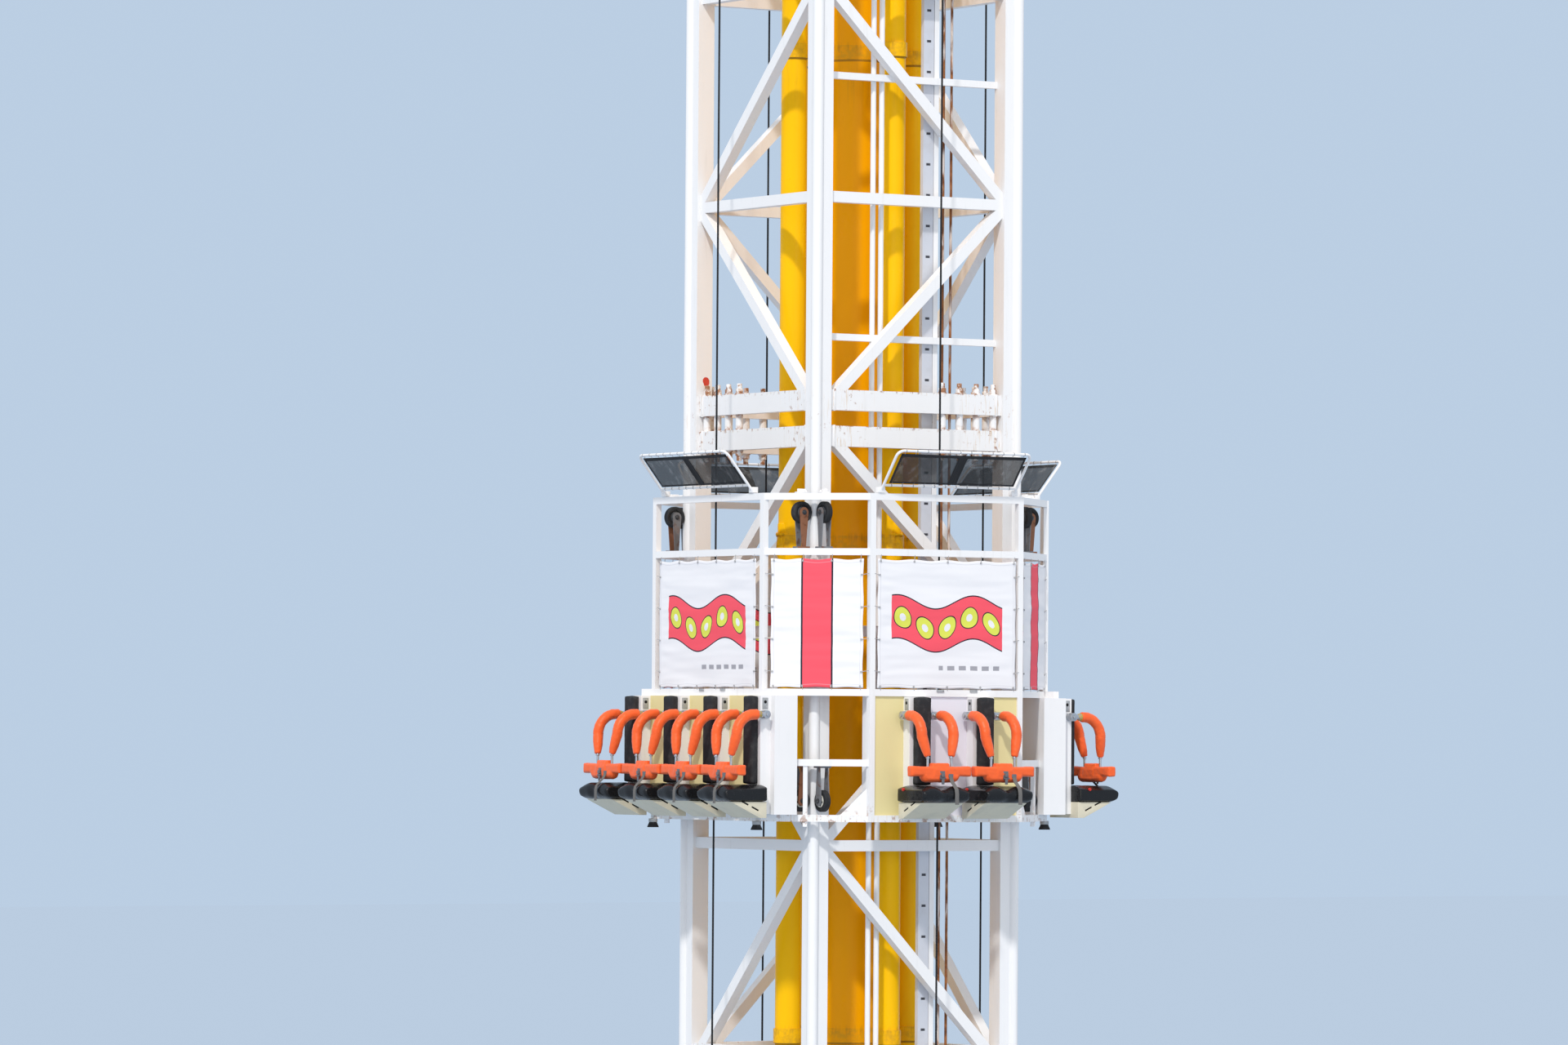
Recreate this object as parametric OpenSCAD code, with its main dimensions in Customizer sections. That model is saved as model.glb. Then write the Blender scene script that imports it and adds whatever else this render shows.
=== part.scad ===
// Drop tower ride: a square lattice tower in two flanged sections, with launch
// cylinders inside it and a twelve-seat carriage that slides on its four corner tubes.
// X runs along the front face, which looks to -Y. Z is up, and the ground is at Z = 0.

/* [Tower] */
// Distance between leg centres along a face
leg_spacing = 1810; // [1700:10:1900]
// Side of each square leg box
leg_box = 150; // [120:5:170]
// Diameter of the guide tube on each leg's outer corner
guide_tube_d = 90; // [70:2:100]
// Offset of a guide tube from its leg centre, along both faces
guide_tube_offset = 60; // [50:1:66]
// Height of the lattice panels away from the section joint
panel_h = 1720; // [1600:10:1760]
// Height of the panel just below the section joint
low_first_h = 1560; // [1500:10:1600]
// Height of the panel just above the section joint
high_first_h = 1630; // [1560:10:1680]
// Height of the panel under the head
head_panel_h = 1580; // [1500:10:1620]
// Distance from a leg to the centre line of a diagonal, at a ring beam
ring_set_in = 110; // [80:5:140]
// Panels in each of the two sections
panels = 3; // [3:1:4]
// Side of the square lattice bars
bar = 88; // [60:2:100]
// Height of the stout ring beams
ring_h = 165; // [130:5:200]
// Thickness of the ring beams
ring_t = 90; // [70:2:110]
// Distance between the two ring beams at the section joint
joint_pitch = 290; // [250:10:360]
// Diameter of the bolt sleeves between those two beams
sleeve_d = 60; // [30:2:80]
// Distance between bolt sleeves
sleeve_pitch = 165; // [100:5:180]
// Distance from a leg to the middle of the first sleeve
sleeve_first = 50; // [45:1:80]
// Bolt sleeves in a row
sleeves = 4; // [2:1:4]

/* [Base] */
// Side of each base plate
plate_w = 420; // [380:10:500]
// Thickness of each base plate
plate_t = 30; // [16:2:50]
// Distance between the anchor holes of a plate
anchor_spacing = 320; // [290:5:340]
// Diameter of each anchor hole
anchor_hole_d = 33; // [22:1:39]
// Height of the gussets on the base plates
gusset_h = 180; // [100:10:260]
// Thickness of those gussets
gusset_t = 14; // [8:1:24]

/* [Pipes] */
// Diameter of the central reservoir
reservoir_d = 530; // [400:10:600]
// Diameter of each launch cylinder
cylinder_d = 207; // [160:1:230]
// Distance from the tower axis to each launch cylinder
cylinder_out = 580; // [540:5:620]
// How far the couplings stand proud of a cylinder
coupling_proud = 12; // [4:1:18]
// Height of each coupling
coupling_h = 120; // [60:5:180]
// Panels between couplings
coupling_pitch_panels = 2.326; // [2.2:0.002:2.4]
// Panels between the section joint and the first coupling
coupling_rise_panels = 1.757; // [1.7:0.001:1.85]
// Width of the arms that hold the cylinders
arm_w = 80; // [50:5:110]
// Height of those arms
arm_h = 60; // [40:5:80]
// Side of the rails that carry the conduits
rail = 55; // [40:1:60]
// Panels between the rails above the section joint
rail_pitch_panels = 1.223; // [1.18:0.001:1.26]
// Panels between the section joint and the rail above it
rail_rise_panels = 0.381; // [0.34:0.001:0.42]
// Diameter of the two white conduits
conduit_d = 43; // [30:1:50]
// Width of the cable tray
tray_w = 100; // [60:5:120]
// Depth of the cable tray
tray_depth = 40; // [25:1:60]
// Side of the white square bar beside the tray
side_bar = 45; // [30:1:50]
// Diameter of the thin rod
thin_rod_d = 22; // [14:1:28]
// Diameter of the stout rod beside it
stout_rod_d = 30; // [24:1:36]
// Distance of the conduits left of the middle of the front face
conduit_left = 280; // [260:5:300]
// Distance between the two conduits
conduit_pitch = 80; // [60:2:100]
// Distance of the cable tray right of that middle
tray_right = 200; // [180:5:210]
// Distance of the white square bar right of that middle
side_bar_right = 278; // [274:1:290]
// Distance of the thin rods right of that middle
rods_right = 391; // [380:1:420]
// Distance between the two thin rods
rods_pitch = 78; // [60:1:100]
// Reach of the reservoir's foot plate past its wall
foot_flange = 80; // [50:5:100]

/* [Hoist] */
// Diameter of the wire ropes
rope_d = 16; // [12:1:20]
// Distance from the tower axis to each hoist rope
rope_out = 1300; // [1290:1:1306]
// Width of each sheave
sheave_w = 60; // [44:2:70]
// How far a sheave's rim stands out past the rope's centre
sheave_rim = 25; // [15:1:30]
// Diameter of the sheave axles
axle_d = 60; // [40:2:80]
// Radial clearance of a wheel or shaft on its pin
run_gap = 0.05; // [0.02:0.01:0.1]
// Clearance between a rope and its groove, and between a guide wheel and its tube
roll_gap = 0.3; // [0.2:0.05:0.6]
// Clear height between a sheave and the ring beam beside it
sheave_gap = 25; // [20:1:60]
// Gap between a foot sheave and the ground
foot_gap = 15; // [10:1:30]
// Height of the head grillage beams
grill_h = 150; // [100:5:180]
// Width of the head grillage beams
grill_w = 60; // [40:2:70]
// Distance from a sheave's middle to each grillage beam's middle
grill_offset = 85; // [80:1:95]
// Reach of the grillage beams from the tower axis
grill_reach = 1180; // [1120:5:1250]
// Thickness of the bearing plates
bearing_t = 30; // [20:1:40]
// Width of the bearing plates
bearing_w = 160; // [120:5:200]

/* [Carriage] */
// Height of the section joint above the carriage's lowest beam, at rest
carriage_drop = 3230; // [3100:10:3300]
// Side of the square posts
post = 50; // [40:1:56]
// Height of the beams
beam_h = 55; // [40:1:60]
// Distance from the axis to the side posts' plane
side_plane = 1355; // [1350:1:1362]
// Distance of the side posts from the middle of their face
side_post = 817; // [790:1:840]
// Distance from the axis to the end posts' plane
end_plane = 1400; // [1390:1:1406]
// Distance of the end posts from the middle of their face
end_post = 709; // [680:1:730]
// Height of the mid rail's centre
mid_z = 470; // [430:5:520]
// Height of the ledge's centre
ledge_z = 1030; // [1010:5:1060]
// Reach of the side ledges past the middle of their face
ledge_reach = 1000; // [900:10:1060]
// Height of the second rail's centre
second_z = 2150; // [2100:5:2180]
// Height of the top rail's centre
top_z = 2590; // [2570:5:2640]
// Side of the thin corner posts
thin_post = 35; // [25:1:45]
// Distance of a thin corner post from the side post of its corner
thin_post_along = 348; // [340:1:356]
// How far the thin corner posts hang below the lowest beam
thin_post_drop = 40; // [10:1:60]
// Side of the corner gussets
corner_gusset = 240; // [150:10:280]
// Thickness of the plates and lugs on the carriage
lug_t = 15; // [8:1:20]

/* [Guide wheels] */
// Diameter of the guide wheels
wheel_d = 175; // [150:1:180]
// Width of the guide wheels
wheel_w = 50; // [36:1:56]
// Diameter of the guide wheel pins
wheel_pin_d = 20; // [12:1:30]
// Height of the lower wheels' centre
low_wheel_z = 165; // [150:5:180]
// Height of the upper wheels' centre
high_wheel_z = 2465; // [2440:5:2490]
// Gap between a wheel and each fork plate
fork_gap = 8; // [4:1:12]
// Thickness of the fork plates
fork_t = 10; // [6:1:14]
// Radius of a fork plate round its wheel
fork_r = 40; // [30:1:60]

/* [Benches] */
// Distance from the axis to the benches' inner face on the sides
side_bench_in = 1190; // [1185:1:1220]
// Distance from the axis to the benches' inner face on the ends
end_bench_in = 1240; // [1220:1:1250]
// Distance from the axis to the face that the seats stand on
seat_face = 1410; // [1408:1:1420]
// Reach of the side benches from the middle of their face
bench_reach = 1070; // [1040:5:1090]
// Thickness of the coloured panels on the benches
panel_t = 6; // [3:1:10]
// Diameter of the eyes through which the ropes pass
rope_eye_d = 60; // [45:1:70]
// Diameter of the rubber buffers
buffer_d = 100; // [70:5:120]
// Height of the rubber buffers
buffer_h = 70; // [40:5:90]

/* [Seats] */
// Distance between seats
seat_pitch = 607; // [600:1:640]
// Width of a seat column
column_w = 200; // [180:1:208]
// Depth of a seat column
column_depth = 90; // [80:1:100]
// Lowest point of a seat column
column_foot_z = 60; // [56:1:100]
// Width of a back pad
back_pad_w = 140; // [110:5:180]
// Thickness of a back pad
back_pad_t = 60; // [40:1:80]
// Top of the back pads
back_pad_top_z = 1000; // [960:5:1040]
// Width of a seat pan
pan_w = 440; // [400:5:480]
// Thickness of a seat pan
pan_t = 137; // [100:1:150]
// Depth of a seat pan, from its column to its front edge
pan_depth = 400; // [360:5:430]
// Height of the seat pan's top
pan_top_z = 295; // [260:5:300]
// Width of the wedge under a seat pan
wedge_w = 400; // [340:5:420]
// Depth of the wedge under a seat pan
wedge_depth = 330; // [250:5:360]
// Lowest point of the wedge
wedge_foot_z = 30; // [20:1:50]

/* [Harness] */
// Distance from a seat face to the harness pivot
pivot_out = 70; // [66:1:72]
// Height of the harness pivot
pivot_z = 850; // [830:5:870]
// Diameter of the pivot shaft
shaft_d = 32; // [24:1:34]
// Distance from a seat's middle to each arm
arm_offset = 150; // [148:1:165]
// Diameter of the arm knuckles
knuckle_d = 68; // [50:1:80]
// Diameter of the steel arms
arm_d = 44; // [30:1:50]
// Reach of the bare steel arms from the pivot
arm_reach = 75; // [60:1:90]
// Radius of the shoulder pads at the top
pad_r = 44; // [36:1:45]
// How far the pads swell at the knee below the bend
knee_proud = 1; // [0.5:0.5:3]
// Radius of the shoulder pads at the bottom
pad_end_r = 30; // [24:1:36]
// Radius of the bend of the shoulder pads
pad_bend_r = 165; // [140:5:180]
// Distance from a seat's middle to each pad's lower end
pad_end_offset = 112; // [100:1:125]
// Length of the straight stretch below the bend
pad_drop = 159; // [130:1:170]
// How far the pads lean outward over that stretch
pad_lean = 25; // [0:1:40]
// Diameter of the steel rods below the pads
drop_rod_d = 20; // [14:1:28]
// Height of the belly bar below the pivot
belly_drop = 444; // [430:1:450]
// Distance from the pivot out to the belly bar
belly_out = 330; // [310:5:350]
// Diameter of the belly bar
belly_d = 77; // [50:1:84]
// Length of the belly bar
belly_w = 596; // [540:2:600]
// Width of the belly bar's centre block
block_w = 180; // [140:5:220]
// Thickness of the centre block
block_t = 70; // [50:1:74]
// Height of the centre block above the belly bar's middle
block_rise = 79; // [50:1:100]
// Width of the lap pad
lap_w = 330; // [260:5:380]
// Thickness of the lap pad
lap_t = 90; // [60:1:110]
// Depth of the lap pad below the belly bar's middle
lap_drop = 99; // [60:1:104]

/* [Screens and banners] */
// Width of the screens on the sides
side_screen_w = 1360; // [1200:10:1500]
// Width of the screens on the ends
end_screen_w = 1300; // [1100:10:1360]
// Reach of a screen outward
screen_out = 270; // [200:10:300]
// Rise of a screen above the top rail
screen_rise = 333; // [260:1:360]
// Thickness of a screen's frame
screen_t = 24; // [16:1:30]
// Width of a screen's frame
screen_frame_w = 32; // [20:1:50]
// Thickness of a screen's mesh
mesh_t = 4; // [2:1:8]
// Width of the banners on the sides
side_banner_w = 1470; // [1300:10:1560]
// Width of the banners on the ends
end_banner_w = 1330; // [1200:10:1350]
// Width of the banners on the corners
corner_banner_w = 750; // [600:10:790]
// Thickness of a banner
banner_t = 4; // [2:1:8]

/* [Hidden] */
$fn = 32;

// Length by which a cutting solid runs past what it cuts
cut = 1;

// Turns that carry the front face, which looks to -Y, onto each face
front = 0;
right = 90;
back = 180;
left = 270;

// Plan of the tower
leg_centre = leg_spacing / 2;
clear_half = leg_centre - leg_box / 2;
tube_centre = leg_centre + guide_tube_offset;

// Height of the first n panels of a section
function level(heights, n) = n == 0 ? 0 : heights[n - 1] + level(heights, n - 1);

// Sheaves and the heights that follow from them
sheave_pitch_r = (rope_out - cylinder_out) / 2;
sheave_out = (rope_out + cylinder_out) / 2;
sheave_r = sheave_pitch_r + sheave_rim;
foot_axle_z = foot_gap + sheave_r;
base_ring_z = foot_axle_z + sheave_r + sheave_gap + ring_h / 2;
low_heights = [for (i = [0 : panels - 1]) i == 0 ? low_first_h : panel_h];
high_heights = [for (i = [0 : panels - 1])
    i == 0 ? high_first_h : i == panels - 1 ? head_panel_h : panel_h];
joint_low_z = base_ring_z + level(low_heights, panels);
joint_high_z = joint_low_z + joint_pitch;
joint_z = (joint_low_z + joint_high_z) / 2;
head_ring_z = joint_high_z + level(high_heights, panels);
head_z = head_ring_z + ring_h / 2;
head_axle_z = head_z + sheave_gap + sheave_r;
pipe_foot_z = base_ring_z - ring_h / 2;

// The carriage stands this high at rest
carriage_z = joint_z - carriage_drop;
coupling_pitch = coupling_pitch_panels * panel_h;
coupling_rise = coupling_rise_panels * panel_h;
rail_pitch = rail_pitch_panels * panel_h;
rail_rise = rail_rise_panels * panel_h;
corner_start = [-side_plane, -side_post];
corner_end = [-end_post, -end_plane];
corner_run = corner_end - corner_start;
corner_angle = atan2(corner_run.y, corner_run.x);
corner_len = norm(corner_run);
corner_mid = (corner_start + corner_end) / 2;
wheel_out = tube_centre + guide_tube_d / 2 + roll_gap + wheel_d / 2;
bench_face = seat_face - panel_t;

// Seats, by their distance from the middle of the face
end_seats = [-seat_pitch / 2, seat_pitch / 2];
side_seats = [-3 * seat_pitch / 2, -seat_pitch / 2, seat_pitch / 2, 3 * seat_pitch / 2];

// The screens lean out from the top rails
screen_tilt = atan2(screen_out, screen_rise);
screen_len = norm([screen_out, screen_rise]);

// Paint
white_paint = [0.94, 0.95, 0.96];
yellow_paint = [0.95, 0.76, 0.1];
steel = [0.45, 0.46, 0.48];
rust = [0.5, 0.3, 0.2];
rubber = [0.08, 0.08, 0.09];
orange = [0.98, 0.39, 0.16];
pale_yellow = [0.94, 0.9, 0.7];

// A repeat on all four faces
module on_faces() {
    for (turn = [front, right, back, left]) rotate(turn) children();
}

// A plane in which x is the distance out from the axis and y is the height
module out_plane() {
    rotate([90, 0, -90]) children();
}

// A round bar between two points, with a radius at each
module rod(a, b, ra, rb) {
    run = b - a;
    translate(a)
        rotate([0, acos(run.z / norm(run)), atan2(run.y, run.x)])
            cylinder(h = norm(run), r1 = ra, r2 = rb);
}

// A box from its lowest to its highest corner
module span(low, high) {
    translate(low) cube(high - low);
}

// Tower legs and base

module leg(z0, z1) {
    translate([-leg_centre, -leg_centre, (z0 + z1) / 2])
        cube([leg_box, leg_box, z1 - z0], center = true);
    translate([-tube_centre, -tube_centre, z0]) cylinder(h = z1 - z0, d = guide_tube_d);
}

module legs_lower() {
    color(white_paint) on_faces() leg(plate_t, joint_z);
}

module legs_upper() {
    color(white_paint) on_faces() leg(joint_z, head_z);
}

module base_gusset() {
    reach = (plate_w - leg_box) / 2;
    translate([leg_box / 2, gusset_t / 2, plate_t])
        rotate([90, 0, 0]) linear_extrude(gusset_t)
            polygon([[0, 0], [reach, 0], [reach, gusset_t], [gusset_t, gusset_h], [0, gusset_h]]);
}

module base_plate() {
    difference() {
        translate([0, 0, plate_t / 2]) cube([plate_w, plate_w, plate_t], center = true);
        for (x = [-1, 1], y = [-1, 1])
            translate([x * anchor_spacing / 2, y * anchor_spacing / 2, -cut])
                cylinder(h = plate_t + 2 * cut, d = anchor_hole_d);
    }
    for (turn = [0 : 90 : 270]) rotate(turn) base_gusset();
}

module base_plates() {
    color(white_paint) on_faces() translate([-leg_centre, -leg_centre, 0]) base_plate();
}

// Ring beams and the bolt sleeves of the section joint

module ring_beams() {
    color(white_paint)
        for (z = [base_ring_z, joint_low_z, joint_high_z, head_ring_z])
            on_faces() translate([0, -leg_centre, z])
                cube([2 * clear_half, ring_t, ring_h], center = true);
}

// The sleeves stand in a row on both sides of two opposite legs
module joint_sleeves() {
    first = clear_half - sleeve_first;
    color(rust)
        for (turn = [front, back], flip = [0, 1], i = [0 : sleeves - 1])
            rotate(turn) mirror([flip, -flip, 0])
                translate([first - i * sleeve_pitch, -leg_centre, joint_low_z + ring_h / 2])
                    cylinder(h = joint_pitch - ring_h, d = sleeve_d);
}

// One face of the lattice, with the zigzag that starts at the section joint.
// rise is 1 for the section above the joint, and -1 for the one below it. first_lean is -1
// where the diagonals meet the leg at -X at the joint, and 1 where they meet the other one.
// A diagonal ends flush with a ring beam, a little way in from the leg. At a lattice
// horizontal it runs into the corner, and half a bar into the horizontal.

// Corners of one end of a diagonal that leans to the right, for the end at +X
function diagonal_end(x, z, out, half_x, half_z, slope, at_ring) = at_ring
    ? [[x + half_x, z], [x - half_x, z]]
    : [[x, z - out * half_z], [x, z + out * bar / 2], [x - half_x + slope * bar / 2, z + out * bar / 2]];

function turned_over(points) = [for (p = points) -p];

module lattice_drawing(heights, rise, first_lean) {
    for (step = [0 : panels - 1]) {
        lean = step % 2 == 0 ? first_lean : -first_lean;
        near_ring = step == 0;
        far_ring = step == panels - 1;
        near = level(heights, step) + (near_ring ? ring_h : bar) / 2;
        far = level(heights, step + 1) - (far_ring ? ring_h : bar) / 2;
        near_x = clear_half - (near_ring ? ring_set_in : 0);
        far_x = clear_half - (far_ring ? ring_set_in : 0);
        slope = (near_x + far_x) / (far - near);
        half_x = bar / 2 * sqrt(1 + slope * slope);
        half_z = half_x / slope;
        corners = concat(
            diagonal_end(near_x, near, -1, half_x, half_z, slope, near_ring),
            turned_over(diagonal_end(far_x, -far, -1, half_x, half_z, slope, far_ring)));
        polygon([for (p = corners) [lean * p.x, rise * p.y]]);
        if (step > 0)
            translate([-clear_half, rise * level(heights, step) - bar / 2])
                square([2 * clear_half, bar]);
    }
}

module lattice_section(heights, z_joint, rise, first_lean) {
    translate([0, -leg_centre + bar / 2, z_joint])
        rotate([90, 0, 0]) linear_extrude(bar) lattice_drawing(heights, rise, first_lean);
}

module lattice_face(turn, first_lean) {
    color(white_paint) rotate(turn) {
        lattice_section(low_heights, joint_low_z, -1, first_lean);
        lattice_section(high_heights, joint_high_z, 1, first_lean);
    }
}

module lattice_front() {
    lattice_face(front, -1);
}

module lattice_back() {
    lattice_face(back, -1);
}

module lattice_left() {
    lattice_face(left, 1);
}

module lattice_right() {
    lattice_face(right, 1);
}

// Conduits, tray and rods on the inside of the front face

rail_in = leg_centre - bar / 2 - rail;
rail_levels = concat([for (i = [0 : 2]) joint_z + rail_rise + i * rail_pitch],
                     [for (i = [1 : panels - 1]) joint_low_z - level(low_heights, i)]);
run_foot_z = base_ring_z - ring_h;
run_head_z = head_ring_z + ring_h / 2;

module pipe_rails() {
    color(white_paint)
        for (z = rail_levels)
            span([-clear_half, -rail_in - rail, z - rail / 2], [clear_half, -rail_in, z + rail / 2]);
}

module upright(x, d) {
    translate([x, -rail_in + d / 2, run_foot_z]) cylinder(h = run_head_z - run_foot_z, d = d);
}

module conduits() {
    color(white_paint) {
        for (side = [-1, 1]) upright(-conduit_left + side * conduit_pitch / 2, conduit_d);
        translate([side_bar_right - side_bar / 2, -rail_in, run_foot_z])
            cube([side_bar, side_bar, run_head_z - run_foot_z]);
    }
}

module cable_tray() {
    lip = 3;
    color([0.6, 0.65, 0.72]) translate([tray_right, -rail_in, run_foot_z])
        linear_extrude(run_head_z - run_foot_z)
            difference() {
                translate([-tray_w / 2, 0]) square([tray_w, tray_depth]);
                translate([-tray_w / 2 + lip, lip]) square([tray_w - 2 * lip, tray_depth]);
            }
}

module thin_rods() {
    color(rust) {
        upright(rods_right - rods_pitch / 2, stout_rod_d);
        upright(rods_right + rods_pitch / 2, thin_rod_d);
    }
}

// Reservoir, launch cylinders and the arms that hold them

module reservoir() {
    foot_t = plate_t;
    foot_d = reservoir_d + 2 * foot_flange;
    color(yellow_paint) {
        cylinder(h = head_z, d = reservoir_d);
        cylinder(h = foot_t, d = foot_d);
    }
}

module couplings() {
    for (i = [0 : 2])
        translate([0, -cylinder_out, joint_z + coupling_rise - i * coupling_pitch - coupling_h / 2])
            cylinder(h = coupling_h, d = cylinder_d + 2 * coupling_proud);
}

module launch_cylinder() {
    end_h = 40;
    translate([0, -cylinder_out, pipe_foot_z]) cylinder(h = head_z - pipe_foot_z, d = cylinder_d);
    for (z = [pipe_foot_z, head_z - end_h])
        translate([0, -cylinder_out, z]) cylinder(h = end_h, d = cylinder_d + 4 * coupling_proud);
    couplings();
}

module launch_cylinders() {
    color(yellow_paint) on_faces() launch_cylinder();
}

// Each arm is bored for the cylinder, and for a coupling where one comes to lie in it
module cylinder_arms() {
    color(white_paint)
        for (z = [base_ring_z, joint_low_z, head_ring_z]) on_faces() difference() {
            span([-arm_w / 2, -leg_centre + ring_t / 2, z - arm_h / 2], [arm_w / 2, 0, z + arm_h / 2]);
            translate([0, -cylinder_out, z - arm_h]) cylinder(h = 2 * arm_h, d = cylinder_d);
            couplings();
            translate([0, 0, z - arm_h]) cylinder(h = 2 * arm_h, d = reservoir_d);
        }
}

// Sheaves, their bearings and the ropes

module sheave(z) {
    hub_d = axle_d + 80;
    hub_w = sheave_w + 10;
    web_t = sheave_w / 3;
    rim_in = sheave_pitch_r - 50;
    out_plane() translate([sheave_out, z, 0]) difference() {
        union() {
            cylinder(h = hub_w, d = hub_d, center = true);
            cylinder(h = web_t, r = rim_in + cut, center = true);
            difference() {
                cylinder(h = sheave_w, r = sheave_r, center = true);
                cylinder(h = sheave_w + cut, r = rim_in, center = true);
            }
        }
        cylinder(h = hub_w + cut, d = axle_d + 2 * run_gap, center = true);
        difference() {
            cylinder(h = rope_d + 2 * roll_gap, r = sheave_r + cut, center = true);
            cylinder(h = sheave_w, r = sheave_pitch_r - rope_d / 2 - roll_gap, center = true);
        }
    }
}

module bearing(z, z_seat) {
    out_plane() for (side = [-1, 1]) translate([0, 0, side * grill_offset]) {
        translate([sheave_out, z, 0]) cylinder(h = bearing_t, d = bearing_w, center = true);
        translate([sheave_out, (z + z_seat) / 2, 0]) cube([bearing_w, z - z_seat, bearing_t], center = true);
    }
    out_plane() translate([sheave_out, z, 0])
        cylinder(h = 2 * grill_offset + bearing_t + 40, d = axle_d, center = true);
}

module head_sheaves() {
    color(steel) on_faces() sheave(head_axle_z);
}

module foot_sheaves() {
    color(steel) on_faces() sheave(foot_axle_z);
}

module head_bearings() {
    color(steel) on_faces() bearing(head_axle_z, head_z + grill_h);
}

module foot_bearings() {
    sole_t = 12;
    color(steel) on_faces() {
        bearing(foot_axle_z, sole_t);
        for (side = [-1, 1])
            translate([side * (grill_offset + bearing_t / 2), -sheave_out, sole_t / 2])
                cube([2 * bearing_t, 1.5 * bearing_w, sole_t], center = true);
    }
}

module head_grillage() {
    color(white_paint)
        for (turn = [front, right], side = [-1, 1]) rotate(turn)
            translate([side * grill_offset, 0, head_z + grill_h / 2])
                cube([grill_w, 2 * grill_reach, grill_h], center = true);
}

module hoist_ropes() {
    color(rubber) on_faces()
        translate([0, -rope_out, foot_axle_z]) cylinder(h = head_axle_z - foot_axle_z, d = rope_d);
}

// turn is 0 for the bend over a head sheave, and 180 for the one under a foot sheave
module rope_bend(axle_z, pipe_z, turn) {
    out_plane() translate([sheave_out, axle_z, 0]) rotate(turn)
        rotate_extrude(angle = 180) translate([sheave_pitch_r, 0]) circle(d = rope_d);
    translate([0, -cylinder_out, min(axle_z, pipe_z)]) cylinder(h = abs(axle_z - pipe_z), d = rope_d);
}

module rope_bends() {
    color(rubber) on_faces() {
        rope_bend(head_axle_z, head_z, 0);
        rope_bend(foot_axle_z, pipe_foot_z, 180);
    }
}

// Carriage frame

module beam(half, z, plane) {
    span([-half, -plane - post / 2, z - beam_h / 2], [half, -plane + post / 2, z + beam_h / 2]);
}

module face_frame(turn, plane, half, ledge_half) {
    color(white_paint) rotate(turn) translate([0, 0, carriage_z]) {
        for (side = [-1, 1])
            translate([side * half, -plane, (top_z + beam_h / 2) / 2])
                cube([post, post, top_z + beam_h / 2], center = true);
        for (z = [beam_h / 2, second_z, top_z]) beam(half, z, plane);
        beam(ledge_half, ledge_z, plane);
    }
}

module frame_front() {
    face_frame(front, end_plane, end_post, end_post);
}

module frame_back() {
    face_frame(back, end_plane, end_post, end_post);
}

module frame_left() {
    face_frame(left, side_plane, side_post, ledge_reach);
}

module frame_right() {
    face_frame(right, side_plane, side_post, ledge_reach);
}

// Four corners as mirror images of the one at -X, -Y
module on_corners() {
    for (x = [0, 1], y = [0, 1])
        mirror([x, 0, 0]) mirror([0, y, 0]) translate([0, 0, carriage_z]) children();
}

module corner_rail(z) {
    translate([corner_start.x, corner_start.y, z - beam_h / 2]) rotate(corner_angle)
        translate([0, -post / 2, 0]) cube([corner_len, post, beam_h]);
}

module corner_stiffener() {
    translate([corner_end.x, corner_end.y, beam_h]) rotate([90, 0, corner_angle])
        translate([0, 0, -lug_t / 2]) linear_extrude(lug_t)
            polygon([[0, 0], [-corner_gusset, 0], [0, corner_gusset]]);
}

module corner_frame() {
    difference() {
        union() {
            for (z = [beam_h / 2, mid_z, ledge_z, second_z, top_z]) corner_rail(z);
            translate([corner_start.x, corner_start.y, -thin_post_drop]) rotate(corner_angle)
                translate([thin_post_along - thin_post / 2, -thin_post / 2, 0])
                    cube([thin_post, thin_post, mid_z + thin_post_drop]);
            corner_stiffener();
        }
        for (place = [corner_start, corner_end])
            translate([place.x, place.y, 0]) cube([post, post, 3 * top_z], center = true);
        span([-side_plane - post / 2, -ledge_reach, ledge_z - beam_h / 2],
             [-side_plane + post / 2, 0, ledge_z + beam_h / 2]);
        span([-bench_face, -bench_reach, beam_h], [-side_bench_in, 0, ledge_z - beam_h / 2]);
    }
}

module corner_frames() {
    color(white_paint) on_corners() corner_frame();
}

// Guide wheels: one on each side of every guide tube, at two heights

// The wheel against the -X side of the guide tube, and its mirror image
module on_wheels() {
    on_corners() {
        children();
        mirror([1, -1, 0]) children();
    }
}

module guide_wheel(z) {
    translate([-wheel_out, -tube_centre, z]) rotate([90, 0, 0]) difference() {
        cylinder(h = wheel_w, d = wheel_d, center = true);
        cylinder(h = wheel_w + cut, d = wheel_pin_d + 2 * run_gap, center = true);
    }
}

module guide_wheels() {
    color(rubber) on_wheels() for (z = [low_wheel_z, high_wheel_z]) guide_wheel(z);
}

// z_lug is the face of the lug that the fork plates stand on
module wheel_fork(z, z_lug) {
    toe_r = 18;
    lug_half = 48;
    lug_in = 915;
    lug_rail = 1020;
    step = fork_gap + wheel_w / 2 + fork_t / 2;
    way = z_lug > z ? 1 : -1;
    for (side = [-1, 1])
        translate([-wheel_out, -tube_centre + side * step, 0]) rotate([90, 0, 0])
            translate([0, 0, -fork_t / 2]) linear_extrude(fork_t) {
                translate([0, z]) circle(r = fork_r);
                polygon([[-fork_r, z], [fork_r, z], [toe_r, z_lug], [-toe_r, z_lug]]);
            }
    translate([-wheel_out, -tube_centre, z]) rotate([90, 0, 0])
        cylinder(h = 2 * step, d = wheel_pin_d, center = true);
    span([-wheel_out - lug_half, -lug_rail, min(z_lug, z_lug + way * lug_t)],
         [-wheel_out + lug_half, -lug_in, max(z_lug, z_lug + way * lug_t)]);
}

module wheel_forks() {
    color(steel) on_wheels() {
        wheel_fork(low_wheel_z, mid_z - beam_h / 2 - lug_t);
        wheel_fork(high_wheel_z, second_z + beam_h / 2 + lug_t);
    }
}

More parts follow.
